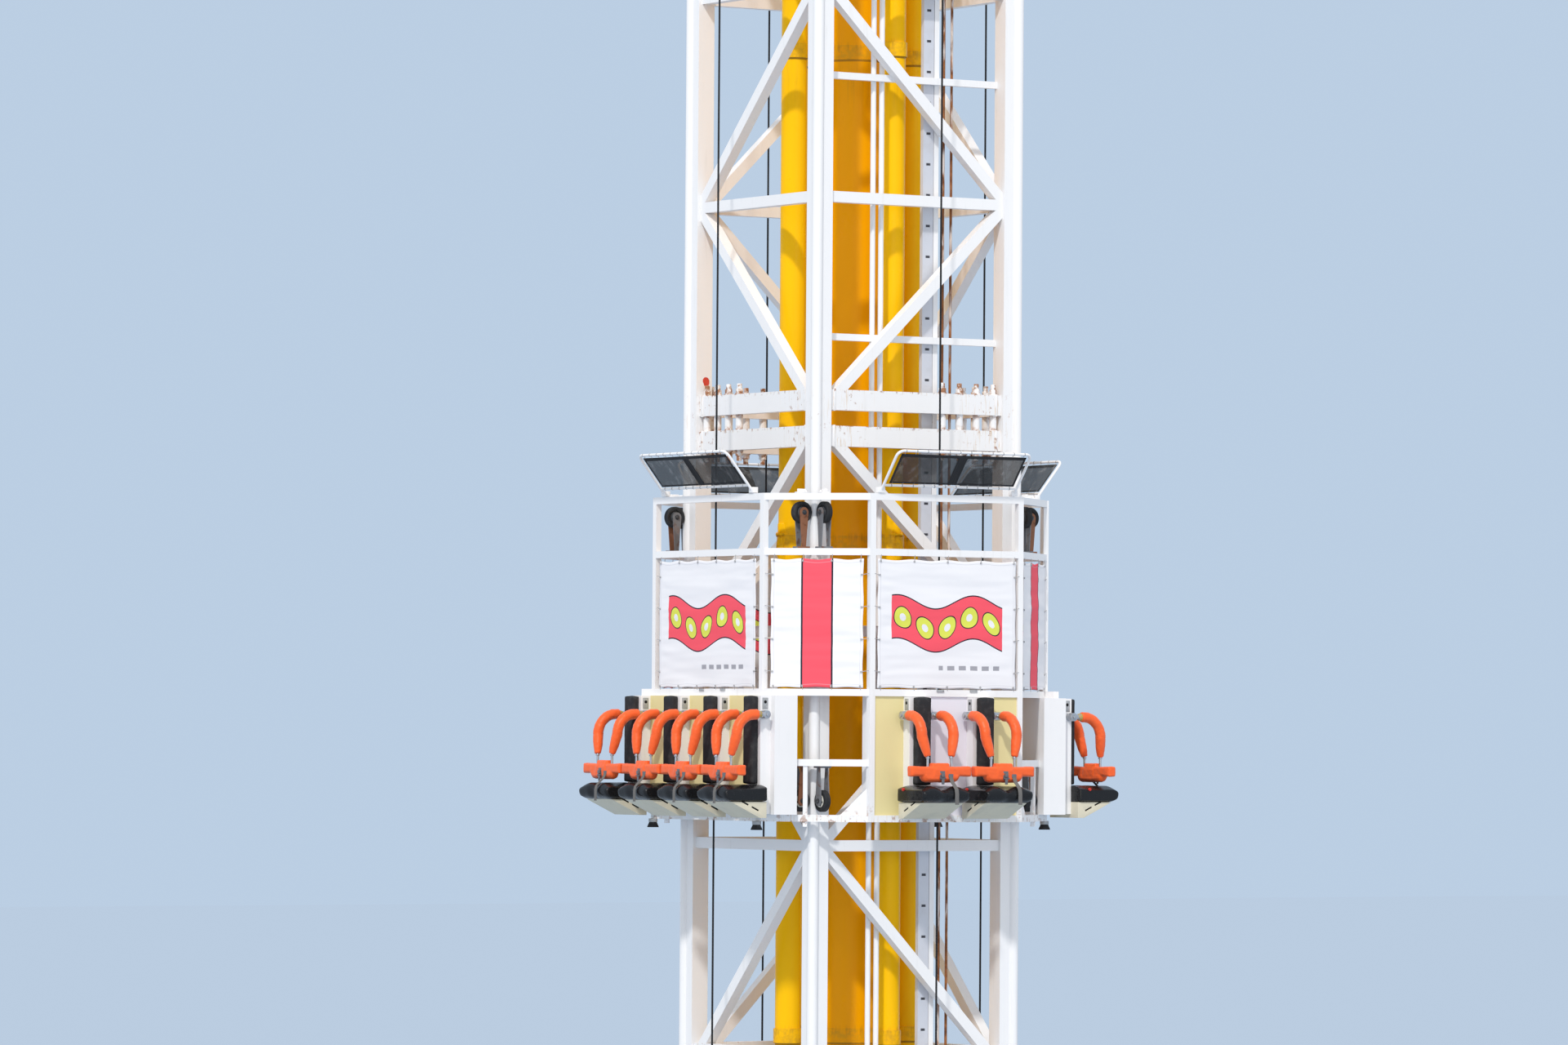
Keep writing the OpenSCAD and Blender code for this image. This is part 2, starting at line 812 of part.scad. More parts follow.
module buffers() {
    color(rubber) for (x = [-1, 1], y = [-1, 1])
        translate([x * (side_plane + 35), y * (side_post - 27), carriage_z - buffer_h])
            cylinder(h = buffer_h, d = buffer_d);
}

// Benches and the coloured panels on them

module bench(turn, inner, reach, post_plane, post_half) {
    color(white_paint) rotate(turn) translate([0, 0, carriage_z]) difference() {
        span([-reach, -bench_face, beam_h], [reach, -inner, ledge_z - beam_h / 2]);
        for (side = [-1, 1])
            translate([side * post_half, -post_plane, 0]) cube([post, post, 3 * top_z], center = true);
        translate([0, -rope_out, 0]) cylinder(h = top_z, d = rope_eye_d);
    }
}

module bench_front() {
    bench(front, end_bench_in, end_post - post / 2, end_plane, end_post);
}

module bench_back() {
    bench(back, end_bench_in, end_post - post / 2, end_plane, end_post);
}

module bench_left() {
    bench(left, side_bench_in, bench_reach, side_plane, side_post);
}

module bench_right() {
    bench(right, side_bench_in, bench_reach, side_plane, side_post);
}

module seat_panel(turn, low, high) {
    rotate(turn) translate([0, 0, carriage_z])
        span([low, -seat_face, beam_h], [high, -bench_face, ledge_z - beam_h / 2]);
}

module seat_panels() {
    half = column_w / 2;
    edge = end_post - post / 2;
    for (turn = [front, back]) {
        color(pale_yellow) seat_panel(turn, -edge, end_seats[0] - half);
        color(white_paint) seat_panel(turn, end_seats[0] + half, end_seats[1] - half);
        color(pale_yellow) seat_panel(turn, end_seats[1] + half, edge);
    }
    for (turn = [left, right], i = [0 : len(side_seats) - 2])
        color(pale_yellow) seat_panel(turn, side_seats[i] + half, side_seats[i + 1] - half);
}

// Seats

// A repeat at every seat, with the seat's middle on the plane x = 0
module on_seats() {
    for (turn = [front, back], along = end_seats)
        rotate(turn) translate([along, 0, carriage_z]) children();
    for (turn = [left, right], along = side_seats)
        rotate(turn) translate([along, 0, carriage_z]) children();
}

seat_back = seat_face + column_depth;

module seat_columns() {
    color(white_paint) on_seats() difference() {
        union() {
            span([-column_w / 2, -seat_back, column_foot_z], [column_w / 2, -seat_face, back_pad_top_z]);
            span([-column_w / 2, -seat_face, column_foot_z], [column_w / 2, -bench_face, back_pad_top_z]);
        }
        out_plane() translate([seat_face + pivot_out, pivot_z, 0])
            cylinder(h = column_w + cut, d = shaft_d + 2 * run_gap, center = true);
    }
}

module back_pads() {
    color(rubber) on_seats()
        span([-back_pad_w / 2, -seat_back - back_pad_t, pan_top_z],
             [back_pad_w / 2, -seat_back, back_pad_top_z]);
}

module seat_pans() {
    r = pan_t / 2;
    color(rubber) on_seats() {
        span([-pan_w / 2, -seat_back - pan_depth + r, pan_top_z - pan_t], [pan_w / 2, -seat_back, pan_top_z]);
        out_plane() translate([seat_back + pan_depth - r, pan_top_z - r, 0])
            cylinder(h = pan_w, r = r, center = true);
    }
}

module seat_wedges() {
    top = pan_top_z - pan_t;
    toe = 60;
    color([0.8, 0.78, 0.7]) on_seats() out_plane()
        translate([seat_back, 0, 0]) linear_extrude(wedge_w, center = true)
            polygon([[0, top], [wedge_depth, top], [wedge_depth - toe, top - toe / 2],
                     [toe, wedge_foot_z], [0, wedge_foot_z]]);
}

// Harness, about its pivot: x along the face, y inward, z up

module shoulder_pad() {
    bend_out = arm_reach + 35;
    knee = [arm_offset, -bend_out - pad_bend_r, -pad_bend_r];
    end = [pad_end_offset, knee.y - pad_lean, knee.z - pad_drop];
    belly = [pad_end_offset, -belly_out, -belly_drop];
    translate([arm_offset, 0, 0]) out_plane() {
        translate([arm_reach, 0, 0]) rotate([0, 90, 0]) cylinder(h = bend_out - arm_reach, r = pad_r);
        translate([bend_out, -pad_bend_r, 0]) rotate_extrude(angle = 90)
            translate([pad_bend_r, 0]) circle(r = pad_r);
    }
    translate(knee) sphere(r = pad_r + knee_proud);
    rod(knee, end, pad_r, pad_end_r);
    rod(end, belly, drop_rod_d / 2, drop_rod_d / 2);
}

module harness_arm() {
    knuckle_in = column_w / 2 + 4;
    translate([knuckle_in, 0, 0]) rotate([0, 90, 0])
        cylinder(h = arm_offset + arm_d / 2 - knuckle_in, d = knuckle_d);
    translate([arm_offset, 0, 0]) rotate([90, 0, 0]) cylinder(h = arm_reach, d = arm_d);
    shoulder_pad();
}

module harness(turn, along) {
    color(orange) rotate(turn) translate([along, -seat_face - pivot_out, carriage_z + pivot_z]) {
        rotate([0, 90, 0]) cylinder(h = 2 * arm_offset, d = shaft_d, center = true);
        for (side = [0, 1]) mirror([side, 0, 0]) harness_arm();
        translate([0, -belly_out, -belly_drop]) {
            rotate([0, 90, 0]) cylinder(h = belly_w, d = belly_d, center = true);
            span([-block_w / 2, -block_t / 2, 0], [block_w / 2, block_t / 2, block_rise]);
            span([-lap_w / 2, -lap_t / 2, -lap_drop], [lap_w / 2, lap_t / 2, 0]);
        }
    }
}

module harness_front_1() {
    harness(front, end_seats[0]);
}

module harness_front_2() {
    harness(front, end_seats[1]);
}

module harness_back_1() {
    harness(back, end_seats[0]);
}

module harness_back_2() {
    harness(back, end_seats[1]);
}

module harness_left_1() {
    harness(left, side_seats[0]);
}

module harness_left_2() {
    harness(left, side_seats[1]);
}

module harness_left_3() {
    harness(left, side_seats[2]);
}

module harness_left_4() {
    harness(left, side_seats[3]);
}

module harness_right_1() {
    harness(right, side_seats[0]);
}

module harness_right_2() {
    harness(right, side_seats[1]);
}

module harness_right_3() {
    harness(right, side_seats[2]);
}

module harness_right_4() {
    harness(right, side_seats[3]);
}

// Screens over the seats, and banners between the rails

module screen(turn, plane, w) {
    rail_top = top_z + beam_h / 2;
    root = 40;
    inner_w = w - 2 * screen_frame_w;
    inner_len = screen_len - root - screen_frame_w;
    rotate(turn) translate([0, 0, carriage_z]) difference() {
        out_plane() translate([plane + post / 2 - 5, rail_top, 0]) rotate(-screen_tilt)
            difference() {
                translate([-screen_t, -root, -w / 2]) cube([screen_t, screen_len + root, w]);
                for (x = [-screen_t - cut, -screen_t / 2 + mesh_t / 2])
                    translate([x, root, -inner_w / 2])
                        cube([(screen_t - mesh_t) / 2 + cut, inner_len, inner_w]);
            }
        translate([0, -plane, rail_top - root]) cube([2 * w, 4 * post, 2 * root], center = true);
    }
}

module screens() {
    color(steel) {
        for (turn = [front, back]) screen(turn, end_plane, end_screen_w);
        for (turn = [left, right]) screen(turn, side_plane, side_screen_w);
    }
}

module banner(turn, plane, w) {
    rotate(turn) translate([0, 0, carriage_z])
        span([-w / 2, -plane - post / 2, ledge_z + beam_h / 2],
             [w / 2, -plane - post / 2 + banner_t, second_z - beam_h / 2]);
}

module banners() {
    color(white_paint) {
        for (turn = [front, back]) banner(turn, end_plane, end_banner_w);
        for (turn = [left, right]) banner(turn, side_plane, side_banner_w);
        on_corners() translate([corner_mid.x, corner_mid.y, -carriage_z])
            banner(corner_angle, 0, corner_banner_w);
    }
}

base_plates();
legs_lower();
legs_upper();
ring_beams();
joint_sleeves();
lattice_front();
lattice_back();
lattice_left();
lattice_right();
pipe_rails();
conduits();
cable_tray();
thin_rods();
reservoir();
launch_cylinders();
cylinder_arms();
head_grillage();
head_bearings();
head_sheaves();
foot_bearings();
foot_sheaves();
hoist_ropes();
rope_bends();
frame_front();
frame_back();
frame_left();
frame_right();
corner_frames();
wheel_forks();
guide_wheels();
buffers();
bench_front();
bench_back();
bench_left();
bench_right();
seat_panels();
seat_columns();
back_pads();
seat_pans();
seat_wedges();
screens();
banners();
harness_front_1();
harness_front_2();
harness_back_1();
harness_back_2();
harness_left_1();
harness_left_2();
harness_left_3();
harness_left_4();
harness_right_1();
harness_right_2();
harness_right_3();
harness_right_4();
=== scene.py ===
# %% [markdown]
# A drop tower ride: a white lattice tower with yellow launch cylinders inside it, and a
# carriage of twelve seats that slides on the tower's corner tubes. The solids come from
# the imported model, which is a fixed frame. This lesson gives every surface its finish and
# adds the soft, thin and small pieces, each one placed by the frame's own boxes.

# %% Frame
import math

import bpy
from mathutils import Matrix, Vector, noise


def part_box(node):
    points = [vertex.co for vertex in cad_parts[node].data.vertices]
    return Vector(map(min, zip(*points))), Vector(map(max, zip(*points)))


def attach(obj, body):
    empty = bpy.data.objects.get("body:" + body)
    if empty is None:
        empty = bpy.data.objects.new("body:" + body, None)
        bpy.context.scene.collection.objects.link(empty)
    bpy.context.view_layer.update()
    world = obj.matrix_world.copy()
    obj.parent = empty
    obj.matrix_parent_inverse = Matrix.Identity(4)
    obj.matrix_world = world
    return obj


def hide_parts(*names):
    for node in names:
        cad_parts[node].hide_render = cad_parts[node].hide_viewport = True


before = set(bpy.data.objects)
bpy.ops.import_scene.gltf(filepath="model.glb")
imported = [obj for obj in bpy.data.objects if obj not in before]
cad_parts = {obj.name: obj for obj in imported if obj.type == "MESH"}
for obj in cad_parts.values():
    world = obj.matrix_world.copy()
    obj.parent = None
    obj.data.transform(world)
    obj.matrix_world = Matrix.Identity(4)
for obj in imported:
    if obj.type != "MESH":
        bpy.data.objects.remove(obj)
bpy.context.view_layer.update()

# %% [markdown]
# The places that everything else hangs on are read from the frame: the height of the
# section joint, the height of the carriage, and the faces of the tower. The four faces
# are the same drawing turned about the Z axis, so most pieces are made for the front face,
# which looks to -Y, and copied with a turn.

# %% Driving places
MM = 0.001
FACE_TURN = {"front": 0, "right": 90, "back": 180, "left": 270}
CARRIAGE_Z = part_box("frame_front")[0].z
JOINT_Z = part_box("legs_upper")[0].z
POST_HALF = 25 * MM
END_PLANE = -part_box("frame_front")[0].y - POST_HALF
SIDE_PLANE = -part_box("frame_left")[0].x - POST_HALF
FACE_PLANE = {"front": END_PLANE, "right": SIDE_PLANE, "back": END_PLANE, "left": SIDE_PLANE}
SEAT_FACE = -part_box("seat_panels")[0].y
PITCH = 607 * MM
END_SEATS = [-PITCH / 2, PITCH / 2]
SIDE_SEATS = [-1.5 * PITCH, -PITCH / 2, PITCH / 2, 1.5 * PITCH]
SEATS = {"front": END_SEATS, "right": SIDE_SEATS, "back": END_SEATS, "left": SIDE_SEATS}
print("carriage", round(CARRIAGE_Z, 4), "joint", round(JOINT_Z, 4))

# %% [markdown]
# The camera stands where the picture was taken from: far off, with a long lens, a little below
# the section joint. At 60 m one pixel in the middle of the picture is a 150th of a metre.
# Its direction is worked out from the bearing of the tower, the height of the horizon in
# the picture and a small roll, and no shift or blur is used.

# %% Camera
PICTURE_W = 1920
SENSOR = 36.0
FOCAL_PX = 9000
DISTANCE = 60.0
AZIMUTH = math.radians(-33.0)
AXIS_RIGHT_PX = 82
HORIZON_BELOW_PX = 260
ROLL = math.radians(0.4)
EYE_BELOW_JOINT = 2.54

lens = bpy.data.cameras.new("camera")
lens.sensor_width = SENSOR
lens.lens = FOCAL_PX * SENSOR / PICTURE_W
lens.clip_end = 400
camera = bpy.data.objects.new("camera", lens)
bpy.context.scene.collection.objects.link(camera)
bpy.context.scene.camera = camera

bearing = math.pi / 2 + AZIMUTH + math.atan(AXIS_RIGHT_PX / FOCAL_PX)
pitch = math.atan(HORIZON_BELOW_PX / FOCAL_PX)
ahead = Vector((math.cos(bearing) * math.cos(pitch), math.sin(bearing) * math.cos(pitch), math.sin(pitch)))
side = ahead.cross(Vector((0, 0, 1))).normalized()
above = side.cross(ahead)
rolled_up = above * math.cos(ROLL) - side * math.sin(ROLL)
rolled_side = side * math.cos(ROLL) + above * math.sin(ROLL)
turn = Matrix((rolled_side, rolled_up, -ahead)).transposed()
place = Vector((math.sin(AZIMUTH), -math.cos(AZIMUTH), 0)) * DISTANCE
place.z = JOINT_Z - EYE_BELOW_JOINT
camera.matrix_world = Matrix.Translation(place) @ turn.to_4x4()
print("camera at", [round(v, 2) for v in place], "lens", round(lens.lens, 2))

# %% [markdown]
# White paint on a white ground would vanish, so the floor and the backdrop are a pale
# blue grey. The world shows that colour to the camera and to shiny surfaces, and gives the
# object a plain even light. One soft sun from the left and above makes the shadows, and a
# weak warm one from behind the camera stands for the light that the ground throws back.

# %% Light and floor
PALE = (0.50, 0.62, 0.77)
EVEN = 0.86
SUN = 2.0
TOWARDS_SUN = Vector((-0.62, -0.62, 0.85)).normalized()


def make_world():
    """Rays from the camera and from shiny or clear surfaces see the pale backdrop."""
    world = bpy.data.worlds.new("studio")
    world.use_nodes = True
    tree = world.node_tree
    tree.nodes.clear()
    ways = tree.nodes.new("ShaderNodeLightPath").outputs
    seen = tree.nodes.new("ShaderNodeMath")
    seen_all = tree.nodes.new("ShaderNodeMath")
    for largest in (seen, seen_all):
        largest.operation = "MAXIMUM"
    grounds = []
    for colour, strength in (((0.98, 0.98, 1.0), EVEN), (PALE, 1.0)):
        ground = tree.nodes.new("ShaderNodeBackground")
        ground.inputs["Color"].default_value = (*colour, 1)
        ground.inputs["Strength"].default_value = strength
        grounds.append(ground)
    mix = tree.nodes.new("ShaderNodeMixShader")
    out = tree.nodes.new("ShaderNodeOutputWorld")
    links = [
        (ways["Is Camera Ray"], seen.inputs[0]),
        (ways["Is Glossy Ray"], seen.inputs[1]),
        (seen.outputs[0], seen_all.inputs[0]),
        (ways["Is Transmission Ray"], seen_all.inputs[1]),
        (seen_all.outputs[0], mix.inputs["Fac"]),
        (grounds[0].outputs[0], mix.inputs[1]),
        (grounds[1].outputs[0], mix.inputs[2]),
        (mix.outputs[0], out.inputs["Surface"]),
    ]
    for start, end in links:
        tree.links.new(start, end)
    bpy.context.scene.world = world


def make_sun(name, energy, spread, colour, towards):
    sun = bpy.data.lights.new(name, "SUN")
    sun.energy = energy
    sun.angle = math.radians(spread)
    sun.color = colour
    lamp = bpy.data.objects.new(name, sun)
    bpy.context.scene.collection.objects.link(lamp)
    lamp.rotation_euler = towards.to_track_quat("Z", "Y").to_euler()


def make_floor():
    """A floor that is as bright as the backdrop in this light, so that no edge shows."""
    brightness = EVEN + SUN * TOWARDS_SUN.z / math.pi
    bpy.ops.object.select_all(action="DESELECT")
    bpy.ops.mesh.primitive_plane_add(size=160, location=(0, 0, 0))
    floor = bpy.context.object
    floor.name = "floor"
    paint = bpy.data.materials.new("floor_pale")
    paint.use_nodes = True
    shader = paint.node_tree.nodes["Principled BSDF"]
    shader.inputs["Base Color"].default_value = (*[c / brightness for c in PALE], 1)
    shader.inputs["Roughness"].default_value = 0.9
    shader.inputs["Specular IOR Level"].default_value = 0.0
    floor.data.materials.append(paint)


make_world()
make_sun("sun", SUN, 3, (1.0, 0.97, 0.92), TOWARDS_SUN)
make_sun("fill", 0.55, 40, (1.0, 0.88, 0.70), Vector((-0.20, -0.95, -0.12)))
make_floor()
bpy.context.scene.view_settings.view_transform = "Standard"
print("studio made")

# %% [markdown]
# A handful of helpers do what a hand does in Blender: add a primitive, put its place into
# its mesh, bevel its edges, and join or copy pieces. Each copy has its own mesh, and every
# object stays at the origin, as the solids of the frame do.

# %% Helpers for shapes


def choose(*objects):
    """Selects only these objects, the first one active."""
    bpy.ops.object.select_all(action="DESELECT")
    for obj in objects:
        obj.select_set(True)
    bpy.context.view_layer.objects.active = objects[0]


def settle(obj):
    """Puts the object's place, turn and size into its mesh."""
    choose(obj)
    bpy.ops.object.transform_apply(location=True, rotation=True, scale=True)
    return obj


def apply_all(obj):
    """Applies every modifier of the object, in order."""
    choose(obj)
    for modifier in list(obj.modifiers):
        bpy.ops.object.modifier_apply(modifier=modifier.name)
    return obj


def drop(obj):
    """Deletes a pattern that has been copied."""
    bpy.data.objects.remove(obj)


def smooth(angle):
    """Smooths the active object, but for edges sharper than the angle."""
    bpy.ops.object.shade_smooth_by_angle(angle=math.radians(angle))


def round_edges(obj, width, segments=2, angle=35):
    """Bevels the sharp edges and smooths the rest."""
    bevel = obj.modifiers.new("bevel", "BEVEL")
    bevel.width = width
    bevel.segments = segments
    bevel.limit_method = "ANGLE"
    bevel.angle_limit = math.radians(angle)
    apply_all(obj)
    smooth(40)
    return obj


def thicken(obj, thickness, offset=-1.0):
    """Gives a sheet its thickness, on its inner side unless the offset says otherwise."""
    solidify = obj.modifiers.new("thick", "SOLIDIFY")
    solidify.thickness = thickness
    solidify.offset = offset
    return apply_all(obj)


def cut(obj, tool):
    """Takes a tool's shape out of an object."""
    boolean = obj.modifiers.new("cut", "BOOLEAN")
    boolean.operation = "DIFFERENCE"
    boolean.object = tool
    apply_all(obj)
    drop(tool)


def outward(obj, merge=None):
    """Turns all faces outwards, after merging points that are closer than merge."""
    choose(obj)
    bpy.ops.object.mode_set(mode="EDIT")
    bpy.ops.mesh.select_all(action="SELECT")
    if merge:
        bpy.ops.mesh.remove_doubles(threshold=merge)
    bpy.ops.mesh.normals_make_consistent(inside=False)
    bpy.ops.object.mode_set(mode="OBJECT")
    return obj


def primitive(name, add, **settings):
    """Adds one of Blender's primitives, with nothing else selected."""
    bpy.ops.object.select_all(action="DESELECT")
    add(**settings)
    obj = bpy.context.object
    obj.name = name
    return obj


def block(name, low, high, bevel=0.003):
    """A box between two corners, with its edges bevelled."""
    low, high = Vector(low), Vector(high)
    obj = primitive(name, bpy.ops.mesh.primitive_cube_add, size=1, location=(low + high) / 2)
    obj.scale = high - low
    settle(obj)
    return round_edges(obj, bevel) if bevel else obj


def bar(name, a, b, radius, sides=16, end_radius=None, bevel=0.0):
    """A round bar between two points; end_radius makes it a taper."""
    a, b = Vector(a), Vector(b)
    run = b - a
    obj = primitive(
        name, bpy.ops.mesh.primitive_cone_add, vertices=sides, radius1=radius,
        radius2=radius if end_radius is None else end_radius, depth=run.length,
        location=(a + b) / 2, rotation=run.to_track_quat("Z", "Y").to_euler())
    settle(obj)
    if bevel:
        return round_edges(obj, bevel, 2, 50)
    smooth(50)
    return obj


def grid(name, across, along):
    """A flat sheet one metre square, divided in x and in y."""
    add = bpy.ops.mesh.primitive_grid_add
    return primitive(name, add, x_subdivisions=across, y_subdivisions=along, size=1)


def pipe(name, points, radii, rings=4):
    """A tube through the points, with a radius at each, made a mesh."""
    curve = bpy.data.curves.new(name, "CURVE")
    curve.dimensions = "3D"
    curve.bevel_depth = 1.0
    curve.bevel_resolution = rings
    curve.use_fill_caps = True
    spline = curve.splines.new("POLY")
    spline.points.add(len(points) - 1)
    for knot, place, radius in zip(spline.points, points, radii):
        knot.co = (*place, 1)
        knot.radius = radius
    obj = bpy.data.objects.new(name, curve)
    bpy.context.scene.collection.objects.link(obj)
    choose(obj)
    bpy.ops.object.convert(target="MESH")
    outward(obj, merge=0.00002)
    smooth(45)
    return obj


def join(name, objects):
    """Makes one object of several."""
    choose(*objects)
    bpy.ops.object.join()
    obj = bpy.context.object
    obj.name = name
    return obj


def moved(obj, matrix, name=None):
    """A copy with its own mesh, carried by a matrix."""
    copy = obj.copy()
    copy.data = obj.data.copy()
    copy.data.transform(matrix)
    if matrix.determinant() < 0:
        copy.data.flip_normals()
    if name:
        copy.name = name
    bpy.context.scene.collection.objects.link(copy)
    return copy


def spread(name, pattern, places, finish, body="carriage"):
    """Copies a pattern to its places, as one piece that belongs to a body."""
    piece = wear(join(name, [moved(pattern, at) for at in places]), finish)
    drop(pattern)
    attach(piece, body)
    return piece


def place_set(patterns, at, name, body):
    """Puts a copy of each pattern in place; the gap in the name takes the pattern's key."""
    made = {}
    for key, pattern in patterns.items():
        made[key] = moved(pattern, at, name.format(key))
        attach(made[key], body)
    return made


def drop_set(patterns):
    for pattern in patterns.values():
        drop(pattern)


print("helpers ready")

# %% Helpers for places
FACES = list(FACE_TURN)
CORNERS = [(-1, -1), (1, -1), (1, 1), (-1, 1)]
SWAP_XY = Matrix(((0, 1, 0, 0), (1, 0, 0, 0), (0, 0, 1, 0), (0, 0, 0, 1)))
MIRROR_X = Matrix.Diagonal((-1, 1, 1, 1))


def face_matrix(face, along=0.0, z=0.0):
    """Carries a drawing of the front face onto another face."""
    return Matrix.Rotation(math.radians(FACE_TURN[face]), 4, "Z") @ Matrix.Translation((along, 0, z))


def rail_matrix(face, z, out=0.0):
    """Carries a drawing at y = 0 onto the middle of a face's rails, or further out."""
    return face_matrix(face, 0, z) @ Matrix.Translation((0, -FACE_PLANE[face] - out, 0))


def corner_matrix(x, y):
    """Mirrors the corner at -X, -Y onto another corner: x and y are -1 or 1."""
    return Matrix.Diagonal((-x, -y, 1, 1))


SEAT_PLACES = {}
for face in FACES:
    for i, along in enumerate(SEATS[face]):
        SEAT_PLACES[f"{face}_{i + 1}"] = face_matrix(face, along, CARRIAGE_Z)
print("seats", len(SEAT_PLACES))

# %% [markdown]
# Every finish is a small tree of nodes on Object coordinates, which for these pieces are
# metres in the frame, so a pattern keeps its real scale. A helper holds the parts that all
# of them share: a noise, a ramp, a mix of two colours and a bump.

# %% Helpers for finishes


class Finish:
    """A material in the making: its shader and the coordinates it reads."""

    def __init__(self, name, colour, roughness, metallic=0.0):
        self.material = bpy.data.materials.new(name)
        self.material.use_nodes = True
        self.tree = self.material.node_tree
        self.shader = self.tree.nodes["Principled BSDF"]
        for key, value in (("Base Color", (*colour, 1)), ("Roughness", roughness),
                           ("Metallic", metallic), ("Specular IOR Level", 0.3)):
            self.feed(self.shader.inputs[key], value)
        self.place = self.node("ShaderNodeTexCoord").outputs["Object"]

    def feed(self, socket, value):
        """Joins another node's output to a socket, or sets the socket's own value."""
        if isinstance(value, bpy.types.NodeSocket):
            self.tree.links.new(value, socket)
        else:
            socket.default_value = value

    def node(self, kind, inputs=None, **settings):
        """Adds a node with its settings, and feeds its inputs."""
        made = self.tree.nodes.new(kind)
        for key, value in settings.items():
            setattr(made, key, value)
        for key, value in (inputs or {}).items():
            self.feed(made.inputs[key], value)
        return made

    def under(self, key):
        """What feeds an input of the shader so far: an output, or the input's own value."""
        socket = self.shader.inputs[key]
        return socket.links[0].from_socket if socket.is_linked else socket.default_value

    def stretched(self, scale):
        """Object coordinates, scaled along each axis."""
        return self.node("ShaderNodeMapping", {"Vector": self.place, "Scale": scale}).outputs["Vector"]

    def noise(self, scale, detail=4.0, stretch=None):
        place = self.stretched(stretch) if stretch else self.place
        inputs = {"Vector": place, "Scale": scale, "Detail": detail, "Roughness": 0.6}
        return self.node("ShaderNodeTexNoise", inputs).outputs["Fac"]

    def waves(self, scale, direction):
        """Bands of a wave, as a height."""
        inputs = {"Vector": self.place, "Scale": scale}
        bands = self.node("ShaderNodeTexWave", inputs, wave_type="BANDS", bands_direction=direction)
        return bands.outputs["Fac"]

    def window(self, value, low, high, out_low=0.0, out_high=1.0):
        """Maps low to out_low and high to out_high, and holds the ends."""
        inputs = {"Value": value, "From Min": low, "From Max": high, "To Min": out_low, "To Max": out_high}
        return self.node("ShaderNodeMapRange", inputs).outputs["Result"]

    def math(self, operation, *values):
        return self.node("ShaderNodeMath", dict(enumerate(values)), operation=operation).outputs[0]

    def times(self, a, b):
        return self.math("MULTIPLY", a, b)

    def less(self, a, b):
        return self.math("LESS_THAN", a, b)

    def more(self, a, b):
        return self.math("GREATER_THAN", a, b)

    def away(self, value, middle):
        """How far a value is from a middle."""
        return self.math("ABSOLUTE", self.math("SUBTRACT", value, middle))

    def axis(self, letter):
        return self.node("ShaderNodeSeparateXYZ", {0: self.place}).outputs[letter]

    def near_corner(self, low, high):
        """0 in the middle of a face, and 1 where the coordinate along it is past high."""
        both = [self.math("ABSOLUTE", self.axis(letter)) for letter in "XY"]
        return self.window(self.math("MINIMUM", *both), low, high)

    def near_height(self, z, reach):
        """1 at the height z, and 0 further than reach from it."""
        return self.window(self.away(self.axis("Z"), z), 0.0, reach, 1.0, 0.0)

    def tint(self, factor, colour):
        """Lays a colour over the base where factor is 1."""
        inputs = {"A": self.under("Base Color"), "B": (*colour, 1), "Factor": factor}
        mix = self.node("ShaderNodeMix", inputs, data_type="RGBA")
        self.feed(self.shader.inputs["Base Color"], mix.outputs["Result"])
        return self

    def blotch(self, scale, detail, low, high, amount, colour):
        """Lays a colour on in blotches of a noise, where it is above low."""
        return self.tint(self.window(self.noise(scale, detail), low, high, 0.0, amount), colour)

    def rough(self, factor, low, high):
        """Varies the roughness between low and high."""
        self.feed(self.shader.inputs["Roughness"], self.window(factor, 0.3, 0.7, low, high))
        return self

    def bump(self, height, strength, distance):
        """Adds a relief to the one that is there."""
        inputs = {"Strength": strength, "Distance": distance, "Height": height}
        if self.shader.inputs["Normal"].is_linked:
            inputs["Normal"] = self.under("Normal")
        relief = self.node("ShaderNodeBump", inputs)
        self.feed(self.shader.inputs["Normal"], relief.outputs["Normal"])
        return self

    def grain(self, scale, detail, strength, distance):
        """A bump that follows a noise."""
        return self.bump(self.noise(scale, detail), strength, distance)


def wear(obj, finish):
    """Puts a finish on every slot of an object."""
    if not obj.material_slots:
        obj.data.materials.append(finish.material)
    for slot in obj.material_slots:
        slot.material = finish.material
    return obj


def dress(finish, *names):
    """Puts a finish on solids of the frame."""
    for name in names:
        wear(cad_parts[name], finish)


print("finish helper ready")

# %% [markdown]
# The tower's white paint has stood outdoors: it is faintly mottled, grey where rain runs
# down, and rusty where steel meets steel. Rust is laid on by height, so that it gathers at
# the section joint, with a noise to break it into stains and runs.

# %% White paint
WHITE = (0.86, 0.86, 0.87)
GRIME = (0.55, 0.54, 0.51)
RUST = (0.33, 0.13, 0.045)
DEEP_RUST = (0.13, 0.045, 0.02)
PALE_RUST = (0.66, 0.47, 0.28)
SLEEVE_HALF = (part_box("joint_sleeves")[1].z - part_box("joint_sleeves")[0].z) / 2
RING_H = 165 * MM


def white_paint(name, grime=0.22):
    """White, faintly mottled, with grey runs as strong as grime says."""
    paint = Finish(name, WHITE, 0.34)
    mottle = paint.noise(3.0, 5.0)
    runs = paint.noise(2.4, 6.0, stretch=(9, 9, 0.7))
    paint.tint(paint.window(mottle, 0.45, 0.8, 0.0, 0.2), (0.76, 0.78, 0.82))
    paint.tint(paint.window(runs, 0.58, 0.8, 0.0, grime), GRIME)
    paint.rough(mottle, 0.28, 0.44)
    return paint.grain(60, 3.0, 0.12, 0.002)


